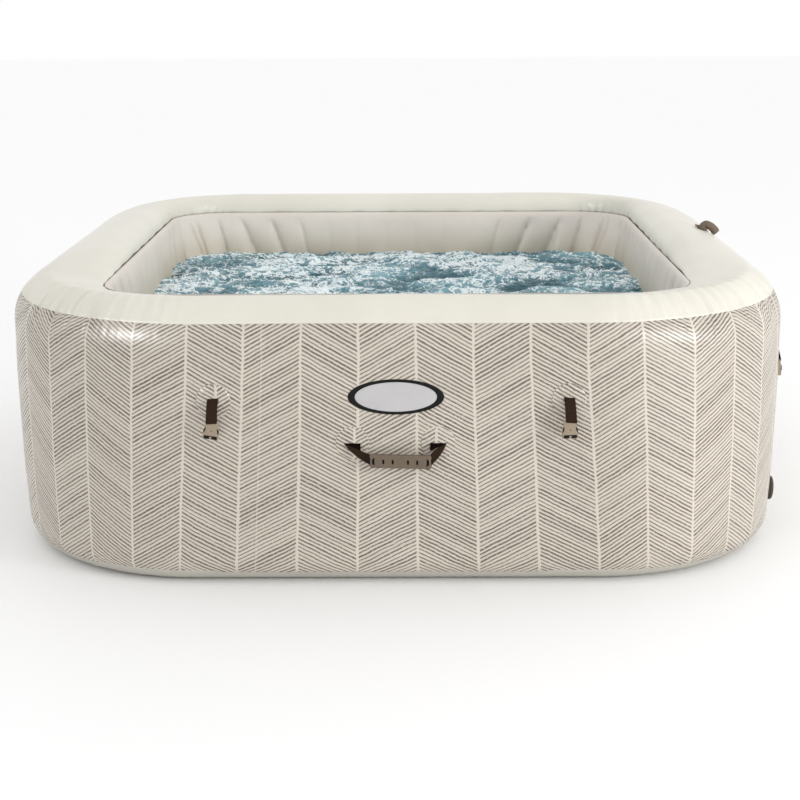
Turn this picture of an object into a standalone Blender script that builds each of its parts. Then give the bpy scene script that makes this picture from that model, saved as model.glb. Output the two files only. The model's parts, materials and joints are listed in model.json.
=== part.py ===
"""Inflatable square hot tub, as separate sub-parts. Metres, +Z up, origin on the floor under its middle.
The front faces -Y, and the side that takes the water pipes faces +X."""

import math

import bmesh
import bpy
from mathutils import Matrix, Vector

# Tub: driving dimensions
HALF_WIDTH = 0.965  # at the widest line of the outer wall
HEIGHT = 0.70
WIDEST_Z = 0.553  # where the wall ends and the shoulder begins
SHOULDER_REACH = 0.184  # from the widest line in to the crest
CORNER_RADIUS = 0.535  # outer corners, at the widest line
BASE_CORNER_RADIUS = 0.49  # outer corners, at the floor
BASE_ROUNDING = 0.073
BASE_INSET = 0.0143  # how far the wall leans in at its foot
INNER_HALF_WIDTH = 0.72
INNER_CORNER_RADIUS = 0.165
WALL_DEPTH = HALF_WIDTH - INNER_HALF_WIDTH
INNER_SEAM_Z = 0.6475
OUTER_SEAM_Z = 0.629
BASE_SEAM_Z = 0.031
CORNER_PINCH = CORNER_RADIUS - WALL_DEPTH - INNER_CORNER_RADIUS  # extra tightening towards the inner corner
SETTLE_SLOPE = 0.184  # the settled front rim's fall towards the inner seam
SETTLE_EASE = 0.012  # how gently it meets the shoulder
SETTLE_FROM = 0.08  # in front of the middle, where the crest starts to settle
SETTLE_OVER = 0.62
TIES_A_SIDE = 11
TIE_LEVELS = (0.12, 0.55)
CHANNEL_REACH = 0.042
JET_SPACING = 0.30
SKIN = 0.002
GAP = 0.0003
CORNER_STEPS = 8

# Cover locks, handles and badge
LOCK_OFFSETS = (0.40, 0.385, 0.40, 0.350)  # from the middle of the front, right, back and left
FRONT_LOCK_SHIFT = -0.011
LOCK_Z = 0.457  # the slit that a lock's strap hangs from
LOCK_STANDOFF = 0.0255  # the buckle's middle, out from the strap's hinge
BAR_TOP = -0.0465  # heights on the buckle, from the hinge
BAR_BOTTOM = -0.0503
SLOT_BOTTOM = -0.0550
BUCKLE_SHOULDER = -0.0605
BUCKLE_BOTTOM = -0.0875
MOUTH_HALF_WIDTH = 0.0135
MOUTH_HALF_DEPTH = 0.0033
LOCK_PATCH_DROP = 0.007  # the patch's middle, below its slit
PATCH_RADIUS = 0.039
PATCH_THICKNESS = 0.0012
WEBBING = 0.025
WEBBING_THICKNESS = 0.0014
HINGE_STANDOFF = 0.003
HANDLE_Z = 0.350
HANDLE_SHIFT = -0.002
HANDLE_SPREAD = 0.097  # from the handle's middle to each anchor
GRIP_SHIFT = 0.012  # the grip sits a little right of the middle between its anchors
GRIP_HALF_LENGTH = 0.070
GRIP_DROP = 0.036  # from the anchors down to the grip's middle
GRIP_STANDOFF = 0.0215
GRIP_HEIGHT = 0.034
GRIP_DEPTH = 0.0135
BADGE_Z = 0.4585
BADGE_HALF_WIDTH = 0.1085
BADGE_HALF_HEIGHT = 0.0410
FACE_HALF_WIDTH = 0.0925
FACE_HALF_HEIGHT = 0.0345
OVAL_STEPS = 24

# Fittings on the right side
PORT_Z = 0.28
PORT_SPACING = 0.182
PORT_MIDDLE = 0.046
PIPE_RADIUS = 0.025
PIPE_BORE = 0.021
PORT_FLANGE = 0.0045  # outer face of the port's flange, out from the wall
PORT_NECK = 0.0150
CAP_RADIUS = 0.0305
DRAIN_Y = -0.49
DRAIN_Z = 0.092
DRAIN_RADIUS = 0.014
VALVE_Y = 0.21
VALVE_Z = 0.50
ELBOW_INSET = 0.108  # the elbow's socket, in from the widest line
ELBOW_TILT = math.radians(22)
ELBOW_RADIUS = 0.0098
DUCT_RADIUS = 0.010

FRONT, RIGHT, BACK, LEFT = range(4)
SIDE_NAMES = ("front", "right", "back", "left")

for old in list(bpy.data.objects):
    bpy.data.objects.remove(old)


# Materials


def material(name, colour, roughness, metallic=0.0):
    made = bpy.data.materials.new(name)
    made.use_nodes = True
    shader = made.node_tree.nodes["Principled BSDF"]
    shader.inputs["Base Color"].default_value = (*colour, 1.0)
    shader.inputs["Roughness"].default_value = roughness
    shader.inputs["Metallic"].default_value = metallic
    made.diffuse_color = (*colour, 1.0)
    return made


PRINTED = material("printed_vinyl", (0.50, 0.44, 0.37), 0.45)
CREAM = material("cream_vinyl", (0.83, 0.80, 0.72), 0.40)
LINER = material("liner_vinyl", (0.55, 0.50, 0.44), 0.45)
WEB = material("tie_web", (0.75, 0.75, 0.72), 0.60)
WEBBING_BROWN = material("dark_webbing", (0.040, 0.022, 0.012), 0.80)
MOULDED = material("taupe_plastic", (0.19, 0.145, 0.11), 0.42)
BUCKLE = material("beige_plastic", (0.36, 0.28, 0.20), 0.40)
DARK = material("dark_plastic", (0.030, 0.026, 0.024), 0.45)
FACE = material("badge_face", (0.62, 0.62, 0.62), 0.40)
SEAL = material("seal_rubber", (0.02, 0.02, 0.02), 0.70)
STEEL = material("spring_steel", (0.60, 0.60, 0.60), 0.30, 1.0)


# Mesh tools


def new_object(name, mesh, finish, place=None):
    obj = bpy.data.objects.new(name, mesh)
    bpy.context.scene.collection.objects.link(obj)
    if not mesh.materials:
        mesh.materials.append(finish)
    if place is not None:
        obj.matrix_world = place
    return obj


def finished_mesh(name, bm):
    bmesh.ops.recalc_face_normals(bm, faces=bm.faces)
    mesh = bpy.data.meshes.new(name)
    bm.to_mesh(mesh)
    bm.free()
    mesh.shade_smooth()
    mesh.set_sharp_from_angle(angle=math.radians(35))
    return mesh


def lofted(name, loops, closed=False):
    """A skin over loops of points, in order. Closed joins the last loop to the first; open ends get caps."""
    bm = bmesh.new()
    rings = [[bm.verts.new(point) for point in loop] for loop in loops]
    pairs = list(zip(rings, rings[1:]))
    if closed:
        pairs.append((rings[-1], rings[0]))
    for low, high in pairs:
        for i in range(len(low)):
            j = (i + 1) % len(low)
            bm.faces.new((low[i], low[j], high[j], high[i]))
    if not closed:
        bm.faces.new(rings[0])
        bm.faces.new(rings[-1])
    return finished_mesh(name, bm)


def turned(name, profile, steps, closed=False):
    """A body of revolution about local Z from (radius, z) points; closed for a ring."""
    loops = []
    for radius, z in profile:
        turns = [2 * math.pi * i / steps for i in range(steps)]
        loops.append([(radius * math.cos(a), radius * math.sin(a), z) for a in turns])
    return lofted(name, loops, closed)


def ribbon(name, path, thickness, width):
    """A strap: a path in local Y and Z, given a thickness, and drawn out along X to the width."""
    left, right = [], []
    for i, (y, z) in enumerate(path):
        ahead = Vector(path[min(i + 1, len(path) - 1)])
        behind = Vector(path[max(i - 1, 0)])
        along = (ahead - behind).normalized()
        across = Vector((-along.y, along.x)) * thickness / 2
        left.append((y + across.x, z + across.y))
        right.append((y - across.x, z - across.y))
    outline = left + right[::-1]
    ends = [[(x, y, z) for y, z in outline] for x in (-width / 2, width / 2)]
    return lofted(name, ends)


def rounded_section(half_x, half_y, corner):
    """Eight points: a rectangle with cut corners."""
    inner_x, inner_y = half_x - corner, half_y - corner
    return [
        (half_x, -inner_y), (half_x, inner_y), (inner_x, half_y), (-inner_x, half_y),
        (-half_x, inner_y), (-half_x, -inner_y), (-inner_x, -half_y), (inner_x, -half_y),
    ]


def tube(name, centres, radii, steps, bore=None):
    """A tube that follows centres in the XZ plane; with a bore radius it is open from end to end."""
    outside, inside = [], []
    for i, (x, z) in enumerate(centres):
        ahead = Vector(centres[min(i + 1, len(centres) - 1)])
        behind = Vector(centres[max(i - 1, 0)])
        along = (ahead - behind).normalized()
        normal = Vector((-along.y, along.x))
        for loops, radius in ((outside, radii[i]), (inside, bore)):
            if radius is None:
                continue
            loop = []
            for k in range(steps):
                a = 2 * math.pi * k / steps
                side, up = radius * math.cos(a), radius * math.sin(a)
                loop.append((x + normal.x * up, side, z + normal.y * up))
            loops.append(loop)
    return lofted(name, outside + inside[::-1], closed=bore is not None)


def box_cutter(name, low, high, place=None):
    bm = bmesh.new()
    bmesh.ops.create_cube(bm, size=1.0)
    size = Vector(high) - Vector(low)
    middle = (Vector(high) + Vector(low)) / 2
    for vert in bm.verts:
        vert.co = Vector((vert.co.x * size.x, vert.co.y * size.y, vert.co.z * size.z)) + middle
    return as_cutter(new_object(name, finished_mesh(name, bm), DARK, place))


def round_cutter(name, radius, low, high, place, steps=16):
    return as_cutter(new_object(name, turned(name, [(radius, low), (radius, high)], steps), DARK, place))


def as_cutter(obj):
    obj.hide_render = True
    obj.display_type = "WIRE"
    return obj


def cut(target, *cutters):
    for cutter in cutters:
        modifier = target.modifiers.new(cutter.name, "BOOLEAN")
        modifier.operation = "DIFFERENCE"
        modifier.object = cutter


def baked_mesh(name, mesh, cutters):
    """The mesh with the cutters taken out of it, so that copies can share it."""
    obj = new_object(name, mesh, DARK)
    cut(obj, *cutters)
    graph = bpy.context.evaluated_depsgraph_get()
    result = bpy.data.meshes.new_from_object(obj.evaluated_get(graph))
    result.name = name
    result.materials.clear()
    for used in (obj, *cutters):
        bpy.data.objects.remove(used)
    return result


# The tub's shape


def wall_inset(z):
    """How far the outer wall lies inside the widest line at a height, from the floor to the crest."""
    if z < BASE_ROUNDING:
        return BASE_INSET + BASE_ROUNDING - math.sqrt(BASE_ROUNDING**2 - (BASE_ROUNDING - z) ** 2)
    if z < WIDEST_Z:
        return BASE_INSET * (1 - (z - BASE_ROUNDING) / (WIDEST_Z - BASE_ROUNDING)) ** 2
    rise = min((z - WIDEST_Z) / (HEIGHT - WIDEST_Z), 1.0)
    return SHOULDER_REACH * (1 - math.sqrt(1 - rise**2))


def corner_radius(inset, z):
    """The plan's corner radius of the outer surface; it tightens over the crest towards the inner corner."""
    share = min(z / WIDEST_Z, 1.0)
    outer = BASE_CORNER_RADIUS + (CORNER_RADIUS - BASE_CORNER_RADIUS) * share
    pinch = CORNER_PINCH * (inset / WALL_DEPTH) ** 3 if z > WIDEST_Z else 0.0
    return outer - inset - pinch


def outline(half, radius, z, steps=CORNER_STEPS):
    """A square with round corners, as a loop of points."""
    points = []
    for corner in range(4):
        quarter = corner * math.pi / 2
        centre = Matrix.Rotation(quarter, 2) @ Vector((half - radius, half - radius))
        for i in range(steps + 1):
            a = quarter + i * math.pi / 2 / steps
            points.append((centre.x + radius * math.cos(a), centre.y + radius * math.sin(a), z))
    return points


def skin_loops(rows, thickness):
    """Loops round a sheet's outer rows of (half width, z, corner radius), and back along its inner face."""
    outer, inner = [], []
    for i, (half, z, radius) in enumerate(rows):
        ahead, behind = rows[min(i + 1, len(rows) - 1)], rows[max(i - 1, 0)]
        along = Vector((ahead[0] - behind[0], ahead[1] - behind[1])).normalized()
        inward = Vector((-along.y, along.x)) * thickness
        if i in (0, len(rows) - 1) and abs(along.y) > 0.5:
            # A seam is cut level, so that the next sheet can stand on it.
            inward = Vector((-math.copysign(thickness, along.y) / abs(along.y), 0))
        outer.append(outline(half, radius, z))
        inner.append(outline(half + inward.x, radius + inward.x, z + inward.y))
    return outer + inner[::-1]


def shell_row(z):
    inset = wall_inset(z)
    return HALF_WIDTH - inset, z, corner_radius(inset, z)


def outer_wall():
    heights = (BASE_SEAM_Z + GAP, 0.048, BASE_ROUNDING, 0.19, 0.34, 0.45, WIDEST_Z, 0.59, OUTER_SEAM_Z - GAP)
    rows = [shell_row(z) for z in heights]
    return new_object("outer_wall", lofted("outer_wall", skin_loops(rows, SKIN), closed=True), PRINTED)


def crest_rows():
    """From the outer seam over the crest and down to the inner seam."""
    start = math.asin((OUTER_SEAM_Z - WIDEST_Z) / (HEIGHT - WIDEST_Z))
    rows = []
    for i in range(6):
        a = start + (math.pi / 2 - start) * i / 5
        inset = SHOULDER_REACH * (1 - math.cos(a))
        rows.append((inset, WIDEST_Z + (HEIGHT - WIDEST_Z) * math.sin(a)))
    reach, drop = WALL_DEPTH - SHOULDER_REACH, HEIGHT - INNER_SEAM_Z
    for i in range(1, 5):
        a = math.pi / 2 * i / 4
        rows.append((SHOULDER_REACH + reach * math.sin(a), INNER_SEAM_Z + drop * math.cos(a)))
    return [(HALF_WIDTH - inset, z, corner_radius(inset, z)) for inset, z in rows]


def settle(inset, z):
    """How far the front rim's crest sits below the other rims', at a point of its section."""
    over = z - INNER_SEAM_Z - SETTLE_SLOPE * (WALL_DEPTH - inset)
    ease = SETTLE_EASE * (1 - inset / WALL_DEPTH)
    from_seam = min((inset - wall_inset(OUTER_SEAM_Z)) / 0.05, 1.0)
    return from_seam * (over + math.sqrt(over**2 + ease**2)) / 2


def front_share(y):
    """Rises smoothly from 0 a little in front of the tub's middle to 1 along its front rim."""
    share = min(max((-y - SETTLE_FROM) / SETTLE_OVER, 0.0), 1.0)
    return share * share * (3 - 2 * share)


def top_sheet():
    rows = crest_rows()
    drops = [settle(HALF_WIDTH - half, z) for half, z, radius in rows]
    loops = []
    for loop, drop in zip(skin_loops(rows, SKIN), drops + drops[::-1]):
        loops.append([(x, y, z - drop * front_share(y)) for x, y, z in loop])
    return new_object("top_sheet", lofted("top_sheet", loops, closed=True), CREAM)


def inner_wall():
    foot, head = SKIN * 3 + GAP * 2, INNER_SEAM_Z - GAP
    loops = []
    for thick, heights in ((0.0, (foot, head)), (SKIN, (head, foot))):
        for z in heights:
            loops.append(outline(INNER_HALF_WIDTH + thick, INNER_CORNER_RADIUS + thick, z))
    return new_object("inner_wall", lofted("inner_wall", loops, closed=True), LINER)


def floor_sheet():
    loops = []
    for z in (SKIN * 2 + GAP, SKIN * 3 + GAP):
        loops.append(outline(INNER_HALF_WIDTH + SKIN, INNER_CORNER_RADIUS + SKIN, z))
    return new_object("floor_sheet", lofted("floor_sheet", loops), LINER)


def base_sheet():
    """The underside, with the band that turns up round the foot of the tub."""
    rows = []
    for z in (0.0, 0.003, 0.011, 0.020, BASE_SEAM_Z):
        rows.append(shell_row(z))
    loops = skin_loops(rows, SKIN * 2)
    return new_object("base_sheet", lofted("base_sheet", loops), CREAM)


def web_stations():
    """Places round the wall: (turn of the side, share of the straight, angle in the corner, tied or not)."""
    middle = TIES_A_SIDE // 2
    places = []
    for side in range(4):
        turn = Matrix.Rotation(side * math.pi / 2, 2)
        for i in range(-middle, middle + 1):
            places.append((turn, i / (middle + 0.55), 0.0, True))
        for i in range(1, 8):
            places.append((turn, 1.0, i * math.pi / 16, i % 2 == 0))
    return places


def tension_web():
    """A band against the outer wall, with upright ties that reach in to the inner wall."""
    bm = bmesh.new()
    levels = []
    half_tie = SKIN / 2
    in_half = INNER_HALF_WIDTH + SKIN + 2 * GAP
    in_radius = INNER_CORNER_RADIUS + SKIN + 2 * GAP
    for z in TIE_LEVELS:
        inset = wall_inset(z) + SKIN + 0.0015
        out_half, out_radius = HALF_WIDTH - inset, corner_radius(inset, z)
        level = []
        for turn, share, angle, tie in web_stations():
            ray = Vector((math.cos(angle), math.sin(angle)))
            across = Vector((-ray.y, ray.x)) * half_tie
            base = out_half - out_radius
            if angle:
                outer = Vector((base, base)) + ray * out_radius
                tip = Vector((in_half - in_radius, in_half - in_radius)) + ray * in_radius
            else:
                outer = Vector((out_half, base * share))
                tip = Vector((in_half, (in_half - in_radius) * share))
            root = outer - ray * SKIN
            sides = (-1, 1) if tie else (0,)
            verts = [
                [bm.verts.new((*(turn @ (point + across * side)), z)) for side in sides]
                for point in ((outer, root, tip) if tie else (outer, root))
            ]
            level.append(verts)
        levels.append(level)
    count = len(levels[0])
    for k, level in enumerate(levels):
        for i in range(count):
            here, after = level[i], level[(i + 1) % count]
            if k in (0, len(levels) - 1):
                bm.faces.new((here[0][-1], after[0][0], after[1][0], here[1][-1]))
                if len(here) == 3:
                    bm.faces.new((here[0][0], here[0][1], here[1][1], here[1][0]))
                    bm.faces.new((here[1][0], here[1][1], here[2][1], here[2][0]))
    for low, high in zip(levels, levels[1:]):
        for outside in (True, False):
            paths = []
            for level in (low, high):
                path = []
                for station in level:
                    if outside:
                        path += station[0]
                    elif len(station) == 3:
                        path += [station[1][0], station[2][0], station[2][1], station[1][1]]
                    else:
                        path += station[1]
                paths.append(path)
            for i in range(len(paths[0])):
                j = (i + 1) % len(paths[0])
                bm.faces.new((paths[0][i], paths[0][j], paths[1][j], paths[1][i]))
    return new_object("tension_web", finished_mesh("tension_web", bm), WEB)


def bubble_channel():
    """A quarter-round cover along the inner wall's foot; the air runs behind it and leaves by its holes."""
    floor = SKIN * 3 + GAP * 3
    loops = []
    for radius, order in ((CHANNEL_REACH, 1), (CHANNEL_REACH - SKIN, -1)):
        arc = []
        for i in range(5):
            a = math.pi / 2 * i / 4
            inset = GAP + radius * math.cos(a)
            z = floor + radius * math.sin(a)
            arc.append(outline(INNER_HALF_WIDTH - inset, INNER_CORNER_RADIUS - inset, z))
        loops += arc[::order]
    return new_object("bubble_channel", lofted("bubble_channel", loops, closed=True), LINER)


def bubble_hole_cutter():
    """All the jet holes of the channel as one tool."""
    bm = bmesh.new()
    for side in range(4):
        for i in (-1.5, -0.5, 0.5, 1.5):
            lean = Matrix.Rotation(math.radians(-45), 4, "Y")
            face = CHANNEL_REACH * math.sqrt(0.5)
            shift = Matrix.Translation((INNER_HALF_WIDTH - face, i * JET_SPACING, SKIN * 3 + face))
            turn = Matrix.Rotation(side * math.pi / 2, 4, "Z")
            bmesh.ops.create_cone(
                bm, cap_ends=True, segments=6, radius1=0.0022, radius2=0.0022, depth=0.014,
                matrix=turn @ shift @ lean,
            )
    return as_cutter(new_object("bubble_holes", finished_mesh("bubble_holes", bm), DARK))


# Places on the walls. In a wall's own axes X runs to the right for who faces it, -Y points out, Z is up.


def wall_place(side, along, z, out=0.0):
    step = 0.001
    lean = math.atan((wall_inset(z - step) - wall_inset(z + step)) / (2 * step))
    turn = Matrix.Rotation(side * math.pi / 2, 4, "Z")
    shift = Matrix.Translation((along, wall_inset(z) - HALF_WIDTH, z))
    return turn @ shift @ Matrix.Rotation(lean, 4, "X") @ Matrix.Translation((0, -out, 0))


def axis_out(place):
    """The same place with local Z pointing out of the wall, for turned pieces."""
    return place @ Matrix.Rotation(math.pi / 2, 4, "X")


# Cover locks


def patch_mesh():
    return turned("patch", [(PATCH_RADIUS, 0.0), (PATCH_RADIUS - 0.0005, PATCH_THICKNESS)], 20)


def lock_strap_mesh():
    """From the slit in the patch out and down, round the buckle's bar, and back up behind itself."""
    y = LOCK_STANDOFF
    path = [
        (0.0, 0.0), (0.010, -0.006), (y - 0.0055, -0.017), (y - 0.001, -0.030), (y + 0.002, -0.040),
        (y + 0.0037, BAR_TOP), (y + 0.0037, BAR_BOTTOM), (y + 0.0022, BAR_BOTTOM - 0.0014),
        (y, BAR_BOTTOM - 0.0019), (y - 0.0022, BAR_BOTTOM - 0.0014), (y - 0.0037, BAR_BOTTOM),
        (y - 0.0037, BAR_TOP), (y - 0.0027, -0.0390), (y - 0.0034, -0.0300), (y - 0.0062, -0.0220),
    ]
    return ribbon("lock_strap", [(-out, z) for out, z in path], WEBBING_THICKNESS, WEBBING)


def buckle_mesh():
    """The female half of a side-release buckle, mouth down."""
    sections = (
        (BAR_TOP, 0.0148, 0.0022), (BAR_TOP - 0.001, 0.0155, 0.0027), (SLOT_BOTTOM - 0.0005, 0.0158, 0.0027),
        (BUCKLE_SHOULDER, 0.0170, 0.0055), (BUCKLE_BOTTOM + 0.003, 0.0172, 0.0057),
        (BUCKLE_BOTTOM, 0.0160, 0.0050),
    )
    loops = []
    for z, half_x, half_y in sections:
        section = rounded_section(half_x, half_y, 0.0012)
        loops.append([(x, y - LOCK_STANDOFF, z) for x, y in section])
    y = -LOCK_STANDOFF
    slot_half = WEBBING / 2 + 0.0005
    cutters = (
        box_cutter("strap_slot", (-slot_half, y - 0.01, SLOT_BOTTOM), (slot_half, y + 0.01, BAR_BOTTOM)),
        box_cutter(
            "mouth", (-MOUTH_HALF_WIDTH, y - MOUTH_HALF_DEPTH, BUCKLE_BOTTOM - 0.005),
            (MOUTH_HALF_WIDTH, y + MOUTH_HALF_DEPTH, BUCKLE_SHOULDER),
        ),
        box_cutter(
            "side_windows", (-0.03, y - 0.0031, BUCKLE_BOTTOM + 0.0095),
            (0.03, y + 0.0031, BUCKLE_SHOULDER - 0.005),
        ),
    )
    return baked_mesh("buckle", lofted("buckle", loops), cutters)


def cover_locks():
    patch, strap, buckle = patch_mesh(), lock_strap_mesh(), buckle_mesh()
    for side in range(4):
        offset = LOCK_OFFSETS[side]
        shift = FRONT_LOCK_SHIFT if side == FRONT else 0.0
        for hand, along in (("left", shift - offset), ("right", shift + offset)):
            tag = f"{SIDE_NAMES[side]}_{hand}"
            patch_place = axis_out(wall_place(side, along, LOCK_Z - LOCK_PATCH_DROP, GAP))
            new_object(f"{tag}_lock_patch", patch, PRINTED, patch_place)
            hinge = wall_place(side, along, LOCK_Z, HINGE_STANDOFF)
            new_object(f"{tag}_lock_strap", strap, WEBBING_BROWN, hinge)
            new_object(f"{tag}_lock_buckle", buckle, BUCKLE, hinge)


# Carry handles


def handle_strap_mesh():
    """A flat strap from patch to patch: level in each slit, and turned upright in the grip."""
    level, upright = 0.019, 0.0125
    far = GRIP_HALF_LENGTH + 0.005
    ends = []
    for hand in (1, -1):
        end = []
        for share in (0.0, 0.25, 0.5, 0.75, 1.0):
            x = hand * (HANDLE_SPREAD + (far - HANDLE_SPREAD) * share) + GRIP_SHIFT * share
            end.append((Vector((x, -GRIP_STANDOFF * share, -GRIP_DROP * share)), share))
        ends.append(end)
    middle = (Vector((GRIP_SHIFT, -GRIP_STANDOFF, -GRIP_DROP)), 1.0)
    route = ends[0] + [middle] + ends[1][::-1]
    loops = []
    for i, (at, share) in enumerate(route):
        along = (route[min(i + 1, len(route) - 1)][0] - route[max(i - 1, 0)][0]).normalized()
        if share == 1.0:
            along = Vector((-1, 0, 0))
        hand = -1 if at.x > 0 else 1
        wide = Vector((hand * (1 - share), 0, share)).normalized()
        thin = wide.cross(along).normalized() * WEBBING_THICKNESS / 2
        wide *= level + (upright - level) * share
        corners = (wide + thin, thin - wide, -wide - thin, wide - thin)
        loops.append([at + corner for corner in corners])
    return lofted("handle_strap", loops)


def grip_mesh():
    """A moulded bar, thicker in its middle, with a flat tunnel for the strap."""
    loops = []
    for x, height, depth in (
        (-1.0, 0.80, 0.75), (-0.95, 0.97, 0.95), (-0.5, 1.0, 1.0), (0.0, 0.98, 1.0),
        (0.5, 1.0, 1.0), (0.95, 0.97, 0.95), (1.0, 0.80, 0.75),
    ):
        section = rounded_section(GRIP_DEPTH / 2 * depth, GRIP_HEIGHT / 2 * height, 0.0035)
        along = GRIP_SHIFT + x * GRIP_HALF_LENGTH
        loops.append([(along, y - GRIP_STANDOFF, z - GRIP_DROP) for y, z in section])
    tunnel = box_cutter(
        "grip_tunnel", (-0.1, -GRIP_STANDOFF - 0.0012, -GRIP_DROP - 0.0132),
        (0.1, -GRIP_STANDOFF + 0.0012, -GRIP_DROP + 0.0132),
    )
    return baked_mesh("grip", lofted("grip", loops), (tunnel,))


def handles():
    patch, strap, grip = patch_mesh(), handle_strap_mesh(), grip_mesh()
    for side in (FRONT, BACK):
        tag = SIDE_NAMES[side]
        for hand, along in (("left", -HANDLE_SPREAD), ("right", HANDLE_SPREAD)):
            place = axis_out(wall_place(side, HANDLE_SHIFT + along, HANDLE_Z, GAP))
            new_object(f"{tag}_handle_{hand}_patch", patch, PRINTED, place)
        hinge = wall_place(side, HANDLE_SHIFT, HANDLE_Z, HINGE_STANDOFF)
        new_object(f"{tag}_handle_strap", strap, WEBBING_BROWN, hinge)
        new_object(f"{tag}_handle_grip", grip, MOULDED, hinge)


# Badge


def bezel_mesh(depth):
    loops = []
    for wide, high, z in (
        (BADGE_HALF_WIDTH, BADGE_HALF_HEIGHT, 0.0),
        (BADGE_HALF_WIDTH - 0.001, BADGE_HALF_HEIGHT - 0.001, depth),
        (FACE_HALF_WIDTH, FACE_HALF_HEIGHT, depth), (FACE_HALF_WIDTH, FACE_HALF_HEIGHT, 0.0),
    ):
        turns = [2 * math.pi * i / OVAL_STEPS for i in range(OVAL_STEPS)]
        loops.append([(wide * math.cos(a), high * math.sin(a), z) for a in turns])
    return lofted("badge_bezel", loops, closed=True)


def badge():
    place = axis_out(wall_place(FRONT, 0.0, BADGE_Z, GAP))
    new_object("badge_bezel", bezel_mesh(0.0022), DARK, place)
    turns = [2 * math.pi * i / OVAL_STEPS for i in range(OVAL_STEPS)]
    loops = []
    for z in (0.0, 0.0016):
        loops.append([
            ((FACE_HALF_WIDTH - GAP) * math.cos(a), (FACE_HALF_HEIGHT - GAP) * math.sin(a), z) for a in turns
        ])
    new_object("badge_face", lofted("badge_face", loops), FACE, place)


# Water ports


def knurled_cap(name, radius, height, steps):
    """A screw cap's body: a grooved skirt under a flat top."""
    loops = []
    for z, shrink in ((0.0, 0.0), (height * 0.75, 0.0), (height, 0.0018)):
        loop = []
        for i in range(steps * 2):
            a = math.pi * i / steps
            r = radius - shrink - (0.0009 if i % 2 else 0.0)
            loop.append((r * math.cos(a), r * math.sin(a), z))
        loops.append(loop)
    return lofted(name, loops)


def turning_bar(name, half_length, half_width, low, high):
    loops = []
    for z, shrink in ((low, 0.0), (high, 0.001)):
        section = rounded_section(half_length - shrink, half_width - shrink, 0.0015)
        loops.append([(x, y, z) for x, y in section])
    return lofted(name, loops)


def joined(target, *pieces):
    for piece in pieces:
        modifier = target.modifiers.new(piece.name, "BOOLEAN")
        modifier.operation = "UNION"
        modifier.object = as_cutter(piece)


def water_ports():
    """Through-wall pipes for the filter pump, each with a strainer in the basin and a cap outside."""
    cutters = []
    for name, shift in (("inlet", -PORT_SPACING / 2), ("outlet", PORT_SPACING / 2)):
        place = axis_out(wall_place(RIGHT, PORT_MIDDLE + shift, PORT_Z))
        inner = INNER_HALF_WIDTH - HALF_WIDTH + wall_inset(PORT_Z)
        profile = [
            (PIPE_BORE, inner - 0.012), (0.031, inner - 0.012), (0.031, inner - 0.009),
            (PIPE_RADIUS, inner - 0.009), (PIPE_RADIUS, PORT_FLANGE - 0.0025), (0.036, PORT_FLANGE - 0.0025),
            (0.036, PORT_FLANGE), (PIPE_RADIUS, PORT_FLANGE),
            (PIPE_RADIUS, PORT_NECK), (PIPE_BORE, PORT_NECK),
        ]
        new_object(f"{name}_port", turned(f"{name}_port", profile, 16, closed=True), MOULDED, place)
        gasket = [
            (0.0160, PORT_NECK + GAP), (0.0245, PORT_NECK + GAP),
            (0.0245, PORT_NECK + 0.0023), (0.0160, PORT_NECK + 0.0023),
        ]
        new_object(f"{name}_gasket", turned(f"{name}_gasket", gasket, 16, closed=True), SEAL, place)
        # The cap's skirt runs over the neck, and its top presses on the gasket.
        cap_place = place @ Matrix.Translation((0, 0, PORT_FLANGE + 0.001))
        top = PORT_NECK + 0.0026 - PORT_FLANGE - 0.001
        cap_mesh = knurled_cap(f"{name}_cap", CAP_RADIUS, top + 0.003, 14)
        cap = new_object(f"{name}_cap", cap_mesh, MOULDED, cap_place)
        cut(cap, round_cutter(f"{name}_cap_thread", PIPE_RADIUS + 0.0006, -0.005, top, cap_place))
        bar = turning_bar(f"{name}_cap_bar", 0.022, 0.0045, top + 0.002, top + 0.010)
        joined(cap, new_object(f"{name}_cap_bar", bar, MOULDED, cap_place))
        strainer_place = place @ Matrix.Translation((0, 0, inner - 0.0125))
        dome = [(0.012, -0.011), (0.024, -0.009), (0.030, -0.004), (0.030, 0.0)]
        dome_mesh = turned(f"{name}_strainer", dome, 16)
        strainer = new_object(f"{name}_strainer", dome_mesh, MOULDED, strainer_place)
        for i in (-1, 0, 1):
            low, high = (-0.016, i * 0.010 - 0.0025, -0.02), (0.016, i * 0.010 + 0.0025, 0.01)
            cut(strainer, box_cutter(f"{name}_strainer_slot_{i + 2}", low, high, strainer_place))
        cutters.append(round_cutter(f"{name}_pipe_path", PIPE_RADIUS + GAP, -0.35, 0.05, place))
    return cutters


# Drain valve


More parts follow.
